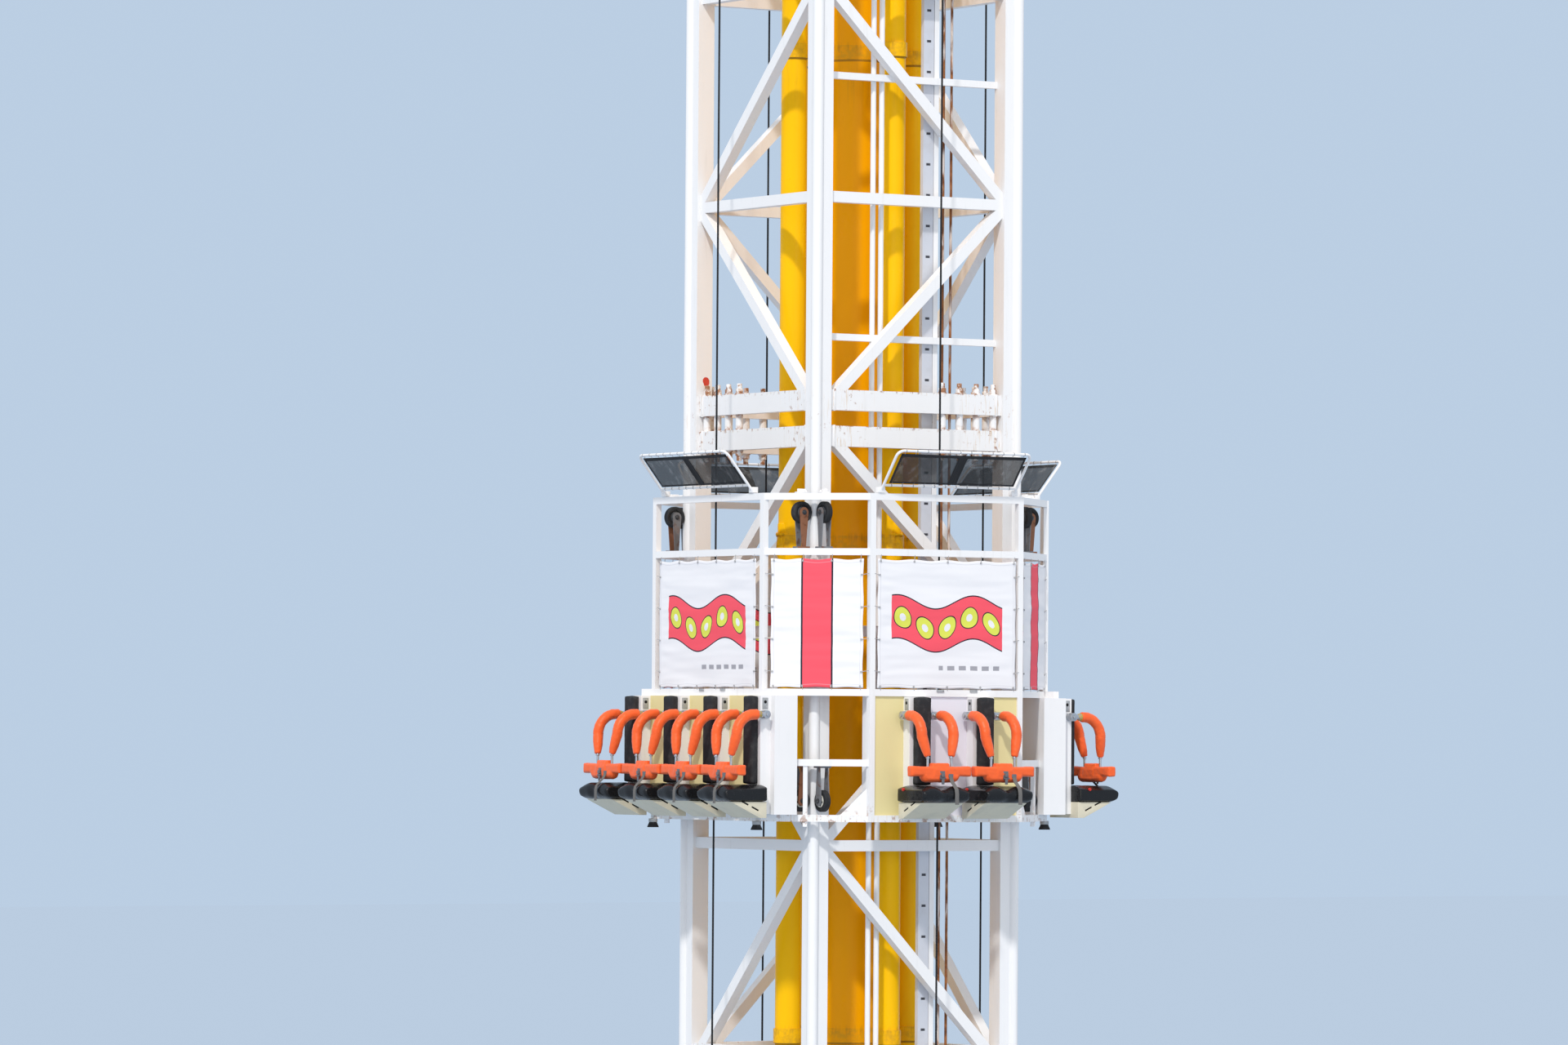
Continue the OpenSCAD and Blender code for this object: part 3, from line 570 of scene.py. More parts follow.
def add_rust(paint, where, amount, low=0.60, high=0.66):
    """Spots of rust with paler runs, only where the mask is 1."""
    spots = paint.window(paint.noise(20, 7.0), low, high)
    runs = paint.window(paint.noise(5.0, 5.0, stretch=(14, 14, 1.2)), 0.56, 0.70)
    here = paint.times(where, amount)
    paint.tint(paint.times(here, runs), PALE_RUST)
    return paint.tint(paint.times(here, spots), RUST)


def ring_white():
    """Rust gathers at the bolts near the legs, and breaks out along the upper edges."""
    paint = white_paint("ring_white")
    ends = paint.near_corner(0.35, 0.70)
    add_rust(paint, ends, 0.75)
    for rise in (SLEEVE_HALF + RING_H, -SLEEVE_HALF):
        edge = paint.near_height(JOINT_Z + rise, 0.03)
        add_rust(paint, edge, 0.8, 0.55, 0.62)
    return paint


def carriage_white():
    """Grime and rust at the feet of the posts and under the rails."""
    paint = white_paint("carriage_white", 0.3)
    return add_rust(paint, paint.near_height(CARRIAGE_Z, 0.16), 0.7, 0.56, 0.64)


def sleeve_paint(name):
    """White posts and studs, worn to rust at both ends."""
    paint = white_paint(name, 0.3)
    off = paint.away(paint.axis("Z"), JOINT_Z)
    return add_rust(paint, paint.window(off, 0.02, SLEEVE_HALF), 0.95, 0.46, 0.58)


def paint_mark(paint, x, z):
    """A dab of red paint on the far left leg, about 80 by 100 mm."""
    across = paint.times(paint.math("SUBTRACT", paint.axis("X"), x), 24.0)
    along = paint.times(paint.math("SUBTRACT", paint.axis("Z"), z), 19.0)
    off = paint.math("ADD", paint.times(across, across), paint.times(along, along))
    dab = paint.window(paint.math("ADD", off, paint.noise(22, 4.0)), 1.0, 1.15, 1.0, 0.0)
    behind = paint.more(paint.axis("Y"), 0.5)
    paint.tint(paint.times(dab, behind), (0.62, 0.07, 0.05))


tower_paint = white_paint("tower_white")
paint_mark(tower_paint, -885 * MM, JOINT_Z + 350 * MM)
add_rust(tower_paint, tower_paint.near_height(JOINT_Z, 0.34), 0.35, 0.62, 0.68)
ring_paint = ring_white()
carriage_paint = carriage_white()
sleeve_white = sleeve_paint("sleeve_white")
dress(tower_paint, "base_plates", "legs_lower", "legs_upper", "pipe_rails", "conduits",
      "cylinder_arms", "head_grillage", *[f"lattice_{face}" for face in FACES])
dress(ring_paint, "ring_beams")
dress(sleeve_white, "joint_sleeves")
dress(carriage_paint, "corner_frames", *[f"frame_{face}" for face in FACES])
dress(white_paint("bench_white", grime=0.14), "seat_columns", *[f"bench_{face}" for face in FACES])
print("white paint on")

# %% [markdown]
# The cylinders are a warm yellow gloss, with a dirty band at each coupling where rust has
# bled out. The couplings stand every four metres, counted down from three metres above the
# joint: a band under the upper rim, and a thin dark line at the lower one. The foot gear and
# the sheaves are machine grey.

# %% Yellow cylinders and machine finishes
COUPLING_RISE = 3.022
COUPLING_PITCH = 4.000
YELLOW = (0.98, 0.54, 0.002)
# Painted shade: the reservoir stands mostly in shade inside the tower, so it gets a deeper, more orange copy
# of the yellow, the hue that bounced light gives yellow paint in shade.
SHADED_YELLOW = (0.93, 0.41, 0.001)


def yellow_paint(name, colour):
    """Yellow, with dirt at the three couplings: a collar, a band, a seam and a stain below."""
    paint = Finish(name, colour, 0.35)
    paint.shader.inputs["Specular IOR Level"].default_value = 0.12
    mottle = paint.noise(2.2, 5.0)
    paint.tint(paint.window(mottle, 0.4, 0.75, 0.0, 0.25), [0.92 * c for c in colour])
    runs = paint.window(paint.noise(4.0, 6.0, stretch=(8, 8, 0.5)), 0.5, 0.72)
    for i in range(3):
        z = JOINT_Z + COUPLING_RISE - i * COUPLING_PITCH
        collar = paint.more(paint.near_height(z, 0.12), 0.5)
        dirt = paint.window(paint.noise(18, 6.0), 0.42, 0.62, 0.15, 0.7)
        band = paint.times(paint.near_height(z + 0.045, 0.05), 0.8)
        seam = paint.more(paint.near_height(z - 0.065, 0.02), 0.55)
        stain = paint.times(paint.near_height(z - 0.25, 0.3), runs)
        paint.tint(paint.times(collar, dirt), (0.62, 0.33, 0.02))
        paint.tint(paint.times(band, runs), (0.30, 0.14, 0.02))
        paint.tint(paint.times(seam, 0.7), (0.22, 0.12, 0.02))
        paint.tint(paint.times(stain, 0.35), (0.42, 0.20, 0.02))
    paint.rough(mottle, 0.22, 0.4)
    return paint.grain(30, 3.0, 0.1, 0.002)


def grey_machine(name, colour, rust=0.3):
    paint = Finish(name, colour, 0.45, 0.2)
    paint.blotch(8, 6.0, 0.55, 0.75, rust, RUST)
    return paint.grain(80, 3.0, 0.15, 0.002)


def rusted_steel():
    """Rusted rods, with white paint left on them in long patches."""
    metal = Finish("rusted_steel", RUST, 0.8, 0.05)
    metal.blotch(18, 8.0, 0.4, 0.65, 1.0, DEEP_RUST)
    left = metal.noise(3.0, 5.0, stretch=(5, 5, 1))
    metal.tint(metal.window(left, 0.52, 0.60, 0.0, 0.85), (0.70, 0.64, 0.60))
    return metal.grain(120, 5.0, 0.5, 0.003)


def tray_metal():
    """Pale sheet with four small holes to a metre along the middle of the tray, drawn as dots of painted
    shade.
    """
    metal = Finish("tray_grey", (0.62, 0.64, 0.70), 0.5, 0.1)
    metal.blotch(6, 5.0, 0.5, 0.8, 0.4, (0.46, 0.45, 0.46))
    every = metal.math("FRACT", metal.times(metal.axis("Z"), 4.0))
    hole = metal.window(metal.away(every, 0.5), 0.03, 0.05, 1.0, 0.0)
    strip = metal.window(metal.away(metal.axis("X"), TRAY_X), 0.016, 0.024, 1.0, 0.0)
    # Painted shade: dark dots where the holes are.
    return metal.tint(metal.times(hole, strip), (0.05, 0.05, 0.06))


TRAY_X = (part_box("cable_tray")[0].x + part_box("cable_tray")[1].x) / 2
yellow = yellow_paint("cylinder_yellow", YELLOW)
# The reservoir wears the painted-shade copy of the yellow.
dress(yellow_paint("reservoir_yellow", SHADED_YELLOW), "reservoir")
dress(yellow, "launch_cylinders")
dress(grey_machine("machine_grey", (0.34, 0.36, 0.38)),
      "head_bearings", "head_sheaves", "foot_bearings", "foot_sheaves")
dress(tray_metal(), "cable_tray")
dress(rusted_steel(), "thin_rods")
print("yellow and grey on")

# %% [markdown]
# Black rubber, moulded foam and the orange vinyl of the harnesses differ mostly in how they
# shine. Rubber is dull and grained, the seat pans are glossy with fine scratches, and the
# vinyl is soft, with a fine leather grain. The wire ropes are greased and dark, and their
# strands are drawn as slanted waves.

# %% Black and orange finishes
ORANGE = (0.90, 0.125, 0.022)


def black_rubber():
    rubber = Finish("black_rubber", (0.022, 0.022, 0.024), 0.72)
    rubber.blotch(14, 5.0, 0.5, 0.8, 0.5, (0.10, 0.10, 0.10))
    return rubber.grain(220, 3.0, 0.25, 0.001)


def pan_black():
    foam = Finish("pan_black", (0.010, 0.010, 0.011), 0.2)
    foam.shader.inputs["Specular IOR Level"].default_value = 0.32
    foam.blotch(9, 4.0, 0.6, 0.85, 0.4, (0.05, 0.05, 0.052))
    foam.rough(foam.noise(24, 5.0), 0.12, 0.34)
    return foam.grain(300, 2.0, 0.08, 0.001)


def orange_vinyl():
    vinyl = Finish("harness_orange", ORANGE, 0.42)
    vinyl.blotch(6, 5.0, 0.45, 0.8, 0.4, (0.74, 0.085, 0.02))
    vinyl.blotch(30, 6.0, 0.62, 0.8, 0.5, (0.45, 0.07, 0.03))
    vinyl.shader.inputs["Sheen Weight"].default_value = 0.15
    vinyl.grain(260, 4.0, 0.22, 0.001)
    return vinyl.grain(28, 4.0, 0.35, 0.006)


def wire_rope():
    rope = Finish("wire_rope", (0.03, 0.03, 0.032), 0.5, 0.6)
    return rope.bump(rope.waves(26, "DIAGONAL"), 0.8, 0.004)


def panel_yellow():
    """Pale yellow sheet; the middle panel of each end is white, tinted lilac as painted shade."""
    sheet = Finish("panel_yellow", (0.80, 0.70, 0.36), 0.5)
    sheet.blotch(3, 4.0, 0.4, 0.8, 0.3, (0.76, 0.65, 0.32))
    across, along = [sheet.math("ABSOLUTE", sheet.axis(letter)) for letter in "XY"]
    on_end = sheet.more(along, SEAT_FACE - 0.02)
    # Painted shade: a lilac white for the middle end panels, the colour white takes in shade.
    sheet.tint(sheet.times(sheet.less(across, PITCH / 2), on_end), (0.80, 0.79, 0.87))
    return sheet.grain(90, 3.0, 0.1, 0.001)


def fork_steel():
    """Dark grey forks, with rust all over the plates that face outwards."""
    paint = grey_machine("fork_steel", (0.20, 0.205, 0.22), 0.5)
    past = [paint.more(paint.math("ABSOLUTE", paint.axis(letter)), limit)
            for letter, limit in (("X", 1.05), ("Y", 0.985))]
    paint.tint(paint.times(paint.times(*past), 0.9), (0.30, 0.115, 0.05))
    return paint.blotch(16, 6.0, 0.56, 0.66, 0.7, DEEP_RUST)


rubber, foam, orange = black_rubber(), pan_black(), orange_vinyl()
beige = Finish("wedge_beige", (0.68, 0.63, 0.49), 0.5)
beige.blotch(6, 5.0, 0.5, 0.8, 0.5, (0.42, 0.40, 0.35))
dress(rubber, "back_pads", "buffers", "guide_wheels", "screens")
dress(foam, "seat_pans")
dress(wire_rope(), "hoist_ropes", "rope_bends")
dress(orange, *[f"harness_{seat}" for seat in SEAT_PLACES])
dress(panel_yellow(), "seat_panels")
dress(beige, "seat_wedges")
dress(fork_steel(), "wheel_forks")
dress(Finish("banner_cloth", (0.80, 0.81, 0.85), 0.75), "banners")
print("black, orange and plain finishes on")

# %% [markdown]
# The two ring beams of the section joint are bolted together through the sleeves. A nut and
# a stud stand on the upper beam over each sleeve, and hang from the lower one. A flange
# plate closes each beam near its leg.

# %% Bolts and flanges of the section joint
RING_CENTRE = -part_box("ring_beams")[0].y - 45 * MM
FIRST_SLEEVE = 780 * MM
FLANGE_ALONG = 782 * MM
SLEEVE_PITCH = 165 * MM
RING_TOP = SLEEVE_HALF + RING_H


def make_bolt():
    """A nut on its washer with a stud through it, standing on z = 0."""
    return join("bolt", [
        bar("washer", (0, 0, 0), (0, 0, 0.010), 0.038, 20, bevel=0.002),
        bar("nut", (0, 0, 0.009), (0, 0, 0.046), 0.031, 6, bevel=0.003),
        bar("stud", (0, 0, 0.040), (0, 0, 0.088), 0.021, 16, bevel=0.004),
    ])


def sleeve_places():
    """Where the sleeves stand: on both sides of two opposite legs."""
    places = []
    for side in (1, -1):
        for i in range(4):
            along = FIRST_SLEEVE - i * SLEEVE_PITCH
            places.append((side * along, -side * RING_CENTRE))
            places.append((-side * RING_CENTRE, side * along))
    return places


def bolt_places():
    """Each sleeve has a bolt that stands on its upper beam and one that hangs below."""
    upside_down = Matrix.Rotation(math.pi, 4, "X")
    places = []
    for x, y in sleeve_places():
        places.append(Matrix.Translation((x, y, JOINT_Z + RING_TOP)))
        places.append(Matrix.Translation((x, y, JOINT_Z - RING_TOP)) @ upside_down)
    return places


def flange_places():
    """At both ends of both beams on every face."""
    rises = [level * (RING_TOP - RING_H / 2) for level in (-1, 1)]
    return [face_matrix(face, s * FLANGE_ALONG, JOINT_Z + rise)
            for face in FACES for s in (-1, 1) for rise in rises]


spread("joint_bolts", make_bolt(), bolt_places(), sleeve_white, "tower")
flange = block("flange", (-0.007, -RING_CENTRE - 0.053, -0.089),
               (0.007, -RING_CENTRE + 0.053, 0.089), 0.002)
spread("joint_flanges", flange, flange_places(), ring_paint, "tower")
print("bolts", len(bolt_places()), "flanges", len(flange_places()))

# %% [markdown]
# Each launch cylinder has a small valve on its outer side, about a metre under the joint: a
# capped stub, a flange with four bolts, and a short pipe that bows out and runs back into the
# cylinder. Most of the stub lies inside the cylinder here. In the photo it stands out further.

# %% Valves of the cylinders
VALVE_OUT = 660 * MM
VALVE_FLANGE = -910 * MM
VALVE_ALONG = 5 * MM
VALVE_BOLTS = 51 * MM
NECK_R = 40 * MM


def make_valve():
    """In the space of the front face, with z from the section joint; its neck bows out."""
    z = VALVE_FLANGE
    parts = [
        bar("stub", (0, -VALVE_OUT, z), (0, -VALVE_OUT, z + 0.088), 0.044, 32, bevel=0.010),
        bar("flange", (0, -VALVE_OUT, z - 0.014), (0, -VALVE_OUT, z + 0.004), 0.060, 32, bevel=0.002),
    ]
    for i in range(4):
        a = math.radians(90 * i + 45)
        x, y = VALVE_BOLTS * math.cos(a), -VALVE_OUT + VALVE_BOLTS * math.sin(a)
        parts.append(bar("bolt", (x, y, z - 0.024), (x, y, z + 0.014), 0.006, 6))
    places = []
    for i in range(11):
        t = i / 10
        bow = math.sin(math.pi * t)
        places.append(Vector((0.012 * bow, -VALVE_OUT - 0.040 * bow + 0.030 * t, z - 0.008 - 0.26 * t)))
    parts.append(pipe("neck", places, [NECK_R] * len(places), 6))
    return join("valve", parts)


spread("valves", make_valve(), [face_matrix(face, VALVE_ALONG, JOINT_Z) for face in FACES], yellow, "tower")
print("valves placed")

# %% [markdown]
# The four screens over the seats are frames of bent tube, white and a little grimy, that
# lean outwards over the top rail. Dark mesh is tied inside each one, doubled in the middle
# where two widths overlap. A screen is drawn by three lengths: x along the face, t up the
# slope from the rail, and n out of the slope.

# %% Screens over the seats
RAIL_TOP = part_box("frame_front")[1].z
SCREEN_OUT, SCREEN_RISE = 270 * MM, 333 * MM
SCREEN_LEN = math.hypot(SCREEN_OUT, SCREEN_RISE)
TILT = math.atan2(SCREEN_OUT, SCREEN_RISE)
TUBE_R, LOWER_R = 11 * MM, 10 * MM
TUBE_BEND = 55 * MM
TOP_TUBE = SCREEN_LEN - TUBE_R
LOWER_TUBE = 72 * MM
SCREEN_MIDDLE = -12 * MM
SLOPE_FOOT = 20 * MM
LACE_R = 2.5 * MM


def screen_place(x, t, lift=0.0):
    """A place on the slope, counted from the middle of the rail and its top."""
    n = SCREEN_MIDDLE + lift
    out = SLOPE_FOOT + t * math.sin(TILT) + n * math.cos(TILT)
    return Vector((x, -out, t * math.cos(TILT) - n * math.sin(TILT)))


def tube_path(side):
    """Up one side, round the two upper corners, and down the other side."""
    left = [(-side, 0.0)]
    for i in range(7):
        a = math.radians(90 * i / 6)
        left.append((-side + TUBE_BEND * (1 - math.cos(a)), TOP_TUBE - TUBE_BEND + TUBE_BEND * math.sin(a)))
    right = [(-x, t) for x, t in reversed(left)]
    return [screen_place(x, t) for x, t in left + right]


def make_mesh(name, low, high, sag, lift=0.0):
    """A rectangle of cloth on the slope between two corners, sagging in its middle."""
    piece = grid(name, 36, 14)
    for vertex in piece.data.vertices:
        u, v = vertex.co.x + 0.5, vertex.co.y + 0.5
        dip = sag * math.sin(math.pi * u) ** 0.5 * math.sin(math.pi * v)
        wave = 0.3 * sag * noise.noise(Vector((u * 7, v * 1.5, low[0])))
        x = low[0] + u * (high[0] - low[0])
        t = low[1] + v * (high[1] - low[1])
        vertex.co = screen_place(x, t, lift - dip - wave)
    thicken(piece, 1.4 * MM)
    smooth(50)
    return piece


def make_tubes(side):
    """The bent tube, the lower one between its sides, and the two feet."""
    path = tube_path(side)
    tubes = [pipe("tube", path, [TUBE_R] * len(path), 5)]
    ends = [screen_place(s * side, LOWER_TUBE) for s in (-1, 1)]
    tubes.append(bar("lower_tube", *ends, LOWER_R, 14))
    for s in (-1, 1):
        foot = screen_place(s * side, 0.0)
        under, over = Vector((0.030, 0.026, 0.004)), Vector((0.030, 0.026, 0.042))
        tubes.append(block("foot", foot - under, foot + over))
    return join("tubes", tubes)


def make_ties(width):
    """Twelve ties round each of the two long tubes, each with its lace to the mesh."""
    ties = []
    half_tie = Vector((0.004, 0, 0))
    for i in range(12):
        x = (i - 5.5) * width / 12.6
        for t, radius, way in ((TOP_TUBE, TUBE_R, -1), (LOWER_TUBE, LOWER_R, 1)):
            at = screen_place(x, t)
            ties.append(bar("tie", at - half_tie, at + half_tie, radius + 0.002, 12))
            ties.append(bar("lace", at, screen_place(x, t + way * 0.034), LACE_R, 6))
    return join("ties", ties)


def make_hems(low, high):
    """The four hems of the mesh, and the strip where its two widths overlap."""
    return join("hems", [
        make_mesh("hem", (low[0], high[1] - 0.028), high, 0.0, 0.002),
        make_mesh("hem", low, (high[0], low[1] + 0.016), 0.0, 0.002),
        make_mesh("hem", low, (low[0] + 0.018, high[1]), 0.0, 0.002),
        make_mesh("hem", (high[0] - 0.018, low[1]), high, 0.0, 0.002),
        make_mesh("overlap", (-0.042, low[1]), (0.042, high[1]), 0.010, 0.003),
    ])


def mesh_finish():
    """Dark see-through mesh, with paler streaks up and down that are painted reflection."""
    paint = Finish("screen_mesh", (0.050, 0.051, 0.052), 0.8)
    painted_sheen = paint.noise(2.2, 3.0, stretch=(5, 5, 1.4))
    paint.shader.inputs["Alpha"].default_value = 0.66
    # Painted reflection: paler vertical streaks over the dark mesh.
    return paint.tint(paint.window(painted_sheen, 0.52, 0.72, 0.0, 0.65), (0.30, 0.30, 0.30))


screen_mesh = mesh_finish()
hem_cloth = Finish("screen_hem", (0.028, 0.028, 0.030), 0.85)
tie_grey = Finish("tie_grey", (0.42, 0.42, 0.43), 0.6)
for width, faces in ((1.300, ("front", "back")), (1.360, ("left", "right"))):
    half = width / 2
    low, high = (-half + 0.055, LOWER_TUBE + 0.022), (half - 0.050, SCREEN_LEN - 0.042)
    patterns = {
        "tubes": wear(make_tubes(half - TUBE_R), carriage_paint),
        "ties": wear(make_ties(width), tie_grey),
        "mesh": wear(make_mesh("mesh", low, high, 0.010), screen_mesh),
        "hems": wear(make_hems(low, high), hem_cloth),
    }
    for face in faces:
        made = place_set(patterns, rail_matrix(face, RAIL_TOP), "screen_{}_" + face, "carriage")
    drop_set(patterns)
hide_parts("screens")
print("screens placed")

# %% [markdown]
# The banners are plain sheets laced between the rails. The cloth is drawn tight at its
# eyelets and slack between them, so the top edge scallops and long shallow folds run in from
# the sides. The four large ones carry a wavy coral ribbon with dark edges and a row of
# yellow discs, and the four narrow ones a plain coral band. Both patterns are drawn in the
# sheet's own coordinates, in metres.

# %% Banner finishes
CORAL = (0.90, 0.095, 0.135)
LIME = (0.70, 0.74, 0.10)
INK = (0.022, 0.020, 0.035)
BANNER_LOW, BANNER_HIGH = 1.066, 2.096
BANNER_TALL = BANNER_HIGH - BANNER_LOW


def cloth_finish(name, width):
    """White cloth whose pattern reads the sheet's own map, in metres from its lower left."""
    paint = Finish(name, (0.84, 0.84, 0.87), 0.7)
    paint.place = paint.node("ShaderNodeUVMap", uv_map="UVMap").outputs["UV"]
    paint.place = paint.stretched((width, BANNER_TALL, 1))
    grime = paint.noise(1.6, 5.0, stretch=(1, 3, 1))
    paint.tint(paint.window(grime, 0.5, 0.8, 0.0, 0.35), (0.72, 0.73, 0.78))
    return paint.grain(500, 2.0, 0.12, 0.0005)


def add_hem_lines(paint, width):
    """A faint seam 25 mm in from every edge."""
    edges = []
    for letter, length in (("X", width), ("Y", BANNER_TALL)):
        off = paint.away(paint.axis(letter), length / 2)
        edges.append(paint.window(paint.away(off, length / 2 - 0.025), 0.0015, 0.003, 0.45, 0.0))
    return paint.tint(paint.math("MAXIMUM", *edges), (0.50, 0.50, 0.56))


def band_cloth(width):
    """A plain coral band down the middle, with dark edge lines."""
    paint = cloth_finish("banner_band", width)
    off = paint.away(paint.axis("X"), width / 2)
    paint.tint(paint.less(off, 0.129), INK)
    paint.tint(paint.less(off, 0.115), CORAL)
    return add_hem_lines(paint, width)


def ribbon_cloth(name, width):
    """A wavy coral ribbon, its row of discs, and a row of grey bars below."""
    paint = cloth_finish(name, width)
    u, v = paint.axis("X"), paint.axis("Y")
    wave = paint.math("SINE", paint.times(u, 2 * math.pi / (0.55 * width)))
    rise = paint.math("SUBTRACT", v, paint.math("ADD", paint.times(wave, 0.055), 0.52))
    inside = paint.less(paint.away(u, width / 2), 0.40 * width)
    for reach, colour in ((0.178, INK), (0.168, CORAL)):
        ribbon = paint.less(paint.math("ABSOLUTE", rise), reach)
        paint.tint(paint.times(inside, ribbon), colour)
    pitch = 0.8 * width / 5
    cell = paint.math("FRACT", paint.math("DIVIDE", paint.math("SUBTRACT", u, 0.1 * width), pitch))
    across = paint.times(paint.math("SUBTRACT", cell, 0.5), pitch)
    off = paint.math("SQRT", paint.math("ADD", paint.times(across, across), paint.times(rise, rise)))
    for radius, colour in ((0.088, INK), (0.080, LIME), (0.030, (0.80, 0.80, 0.84))):
        paint.tint(paint.times(inside, paint.less(off, radius)), colour)
    low = paint.less(paint.away(v, 0.165), 0.018)
    dash = paint.less(paint.math("FRACT", paint.times(u, 9.0)), 0.62)
    right = paint.less(paint.away(u, 0.66 * width), 0.22 * width)
    paint.tint(paint.times(paint.times(low, dash), right), (0.36, 0.36, 0.40))
    return add_hem_lines(paint, width)


# %% Banner sheets
SIDE_BANNER, END_BANNER, CORNER_BANNER = 1.470, 1.330, 0.750
TIE_PITCH = 300 * MM
UPPER_RAIL, LOWER_RAIL = 2.130, 1.050
END_POST, SIDE_POST = 709 * MM, 817 * MM


def tie_count(width):
    return max(3, round(width / TIE_PITCH))


def slack(u, v, width, seed):
    """How far the cloth stands in or out: long folds, and pulls at the eyelets."""
    side = math.exp(-min(u, 1 - u) * width / 0.22)
    long_fold = noise.noise(Vector((u * 1.6 * width, v * 7.0, seed)))
    fine_fold = noise.noise(Vector((u * 3.0 * width, v * 22.0, seed + 4)))
    belly = math.sin(math.pi * u) * math.sin(math.pi * v)
    edge = min(1.0, 14 * min(u, 1 - u), 10 * min(v, 1 - v) + 0.15)
    return edge * (0.007 * long_fold + (0.002 + 0.004 * side) * fine_fold) + 0.004 * belly


def make_banner(width, seed):
    """A sheet in the space of a face, with its outer side at y = 0."""
    sheet = grid("sheet", 96, 80)
    for vertex in sheet.data.vertices:
        u, v = vertex.co.x + 0.5, vertex.co.y + 0.5
        scallop = 0.5 - 0.5 * math.cos(2 * math.pi * tie_count(width) * u)
        top = 0.011 * scallop * v ** 6
        bottom = 0.006 * scallop * (1 - v) ** 6
        pinch = 0.006 * (0.5 - 0.5 * math.cos(2 * math.pi * 3 * v)) * (2 * u - 1) ** 9
        vertex.co = ((u - 0.5) * width - pinch, 0.002 - slack(u, v, width, seed),
                     BANNER_LOW + v * BANNER_TALL - top + bottom)
    for polygon in sheet.data.polygons:
        if polygon.normal.y > 0:
            polygon.flip()
    thicken(sheet, 1.6 * MM)
    bpy.ops.object.shade_smooth()
    return sheet


def make_laces(width, gap):
    """Eyelets round the edge, and short cords to the post or the rail."""
    cords = []
    ties = tie_count(width)
    for i in range(ties + 1):
        x = (i / ties - 0.5) * (width - 0.05)
        for z, to_z in ((BANNER_HIGH - 0.018, UPPER_RAIL), (BANNER_LOW + 0.014, LOWER_RAIL)):
            cords.append((x, z, x + 0.006, to_z))
    for s in (-1, 1):
        for i in range(4):
            z = BANNER_LOW + (i + 0.5) / 4 * BANNER_TALL
            cords.append((s * (width / 2 - 0.016), z, s * (width / 2 + gap), z + 0.010))
    parts = []
    for x, z, to_x, to_z in cords:
        parts.append(bar("lace", (x, -0.003, z), (to_x, -0.001, to_z), LACE_R, 6))
        parts.append(bar("eyelet", (x, -0.006, z), (x, 0.000, z), 0.008, 12))
    return join("laces", parts)


def hang_banner(name, width, gap, at, finish, seed):
    """One sheet and its laces, which take the name with an ending."""
    patterns = {"": wear(make_banner(width, seed), finish), "_laces": wear(make_laces(width, gap), tie_grey)}
    made = place_set(patterns, at, name + "{}", "carriage")
    drop_set(patterns)


side_kind = (SIDE_BANNER, ribbon_cloth("banner_ribbon_side", SIDE_BANNER))
end_kind = (END_BANNER, ribbon_cloth("banner_ribbon_end", END_BANNER))
for i, face in enumerate(FACES):
    width, finish = end_kind if face in ("front", "back") else side_kind
    at = rail_matrix(face, CARRIAGE_Z, POST_HALF)
    hang_banner(f"banner_{face}", width, 0.030, at, finish, 3.1 + 5 * i)

corner_cloth = band_cloth(CORNER_BANNER)
corner_from = Vector((-SIDE_PLANE, -SIDE_POST, CARRIAGE_Z))
corner_to = Vector((-END_POST, -END_PLANE, CARRIAGE_Z))
corner_run = corner_to - corner_from
corner_place = (Matrix.Translation((corner_from + corner_to) / 2)
                @ Matrix.Rotation(math.atan2(corner_run.y, corner_run.x), 4, "Z")
                @ Matrix.Translation((0, -POST_HALF, 0)))
for i, (x, y) in enumerate(CORNERS):
    at = corner_matrix(x, y) @ corner_place
    hang_banner(f"banner_corner_{i + 1}", CORNER_BANNER, 0.045, at, corner_cloth, 40.0 + 3 * i)
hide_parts("banners")
print("banners hung")

# %% [markdown]
# Each guide wheel is a tyre on a hub. The lower hubs are cream discs with a ring of holes,
# and the upper ones dark with a bright middle. They are drawn once, about the wheel's own
# middle with the axle along Y, and copied to the sixteen wheels. The small things round them
# are the brackets on the rails, the buffers' cups and the latch plates on the seat columns.

# %% Wheels
WHEEL_OUT = -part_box("guide_wheels")[0].x - 87.5 * MM
TUBE_CENTRE = 965 * MM
LOW_WHEEL, HIGH_WHEEL = CARRIAGE_Z + 0.165, CARRIAGE_Z + 2.465
TYRE_R, HUB_R, RIM_R = 0.0873, 0.0528, 0.0520


def make_tyre():
    """A tyre with rounded shoulders, and a bore for its hub."""
    tyre = bar("tyre", (0, -0.025, 0), (0, 0.025, 0), TYRE_R, 56)
    round_edges(tyre, 0.008, 3, 50)
    cut(tyre, bar("bore", (0, -0.04, 0), (0, 0.04, 0), 0.0525, 40))
    return tyre


def make_hub(face_radius):
    """A thick web with a disc on each side, which may narrow outwards, and a boss."""
    parts = [bar("web", (0, -0.018, 0), (0, 0.018, 0), HUB_R, 40, bevel=0.002)]
    for s in (-1, 1):
        parts.append(bar("rim", (0, s * 0.017, 0), (0, s * 0.0265, 0), RIM_R, 40,
                         end_radius=face_radius, bevel=0.002))
        parts.append(bar("boss", (0, s * 0.02, 0), (0, s * 0.030, 0), 0.020, 20, bevel=0.002))
    return join("hub", parts)


def make_hole_shades():
    """Six dark discs on each side of a lower hub, painted shade where its holes are."""
    parts = []
    for s in (-1, 1):
        for i in range(6):
            a = math.radians(60 * i + 15)
            x, z = 0.036 * math.cos(a), 0.036 * math.sin(a)
            parts.append(bar("hole", (x, s * 0.0255, z), (x, s * 0.0270, z), 0.0085, 14))
    return join("hub_holes", parts)


def wheel_places(z):
    """Eight places at one height: on both sides of every guide tube."""
    base = Matrix.Translation((-WHEEL_OUT, -TUBE_CENTRE, z))
    return [corner_matrix(x, y) @ way @ base for x, y in CORNERS for way in (Matrix.Identity(4), SWAP_XY)]


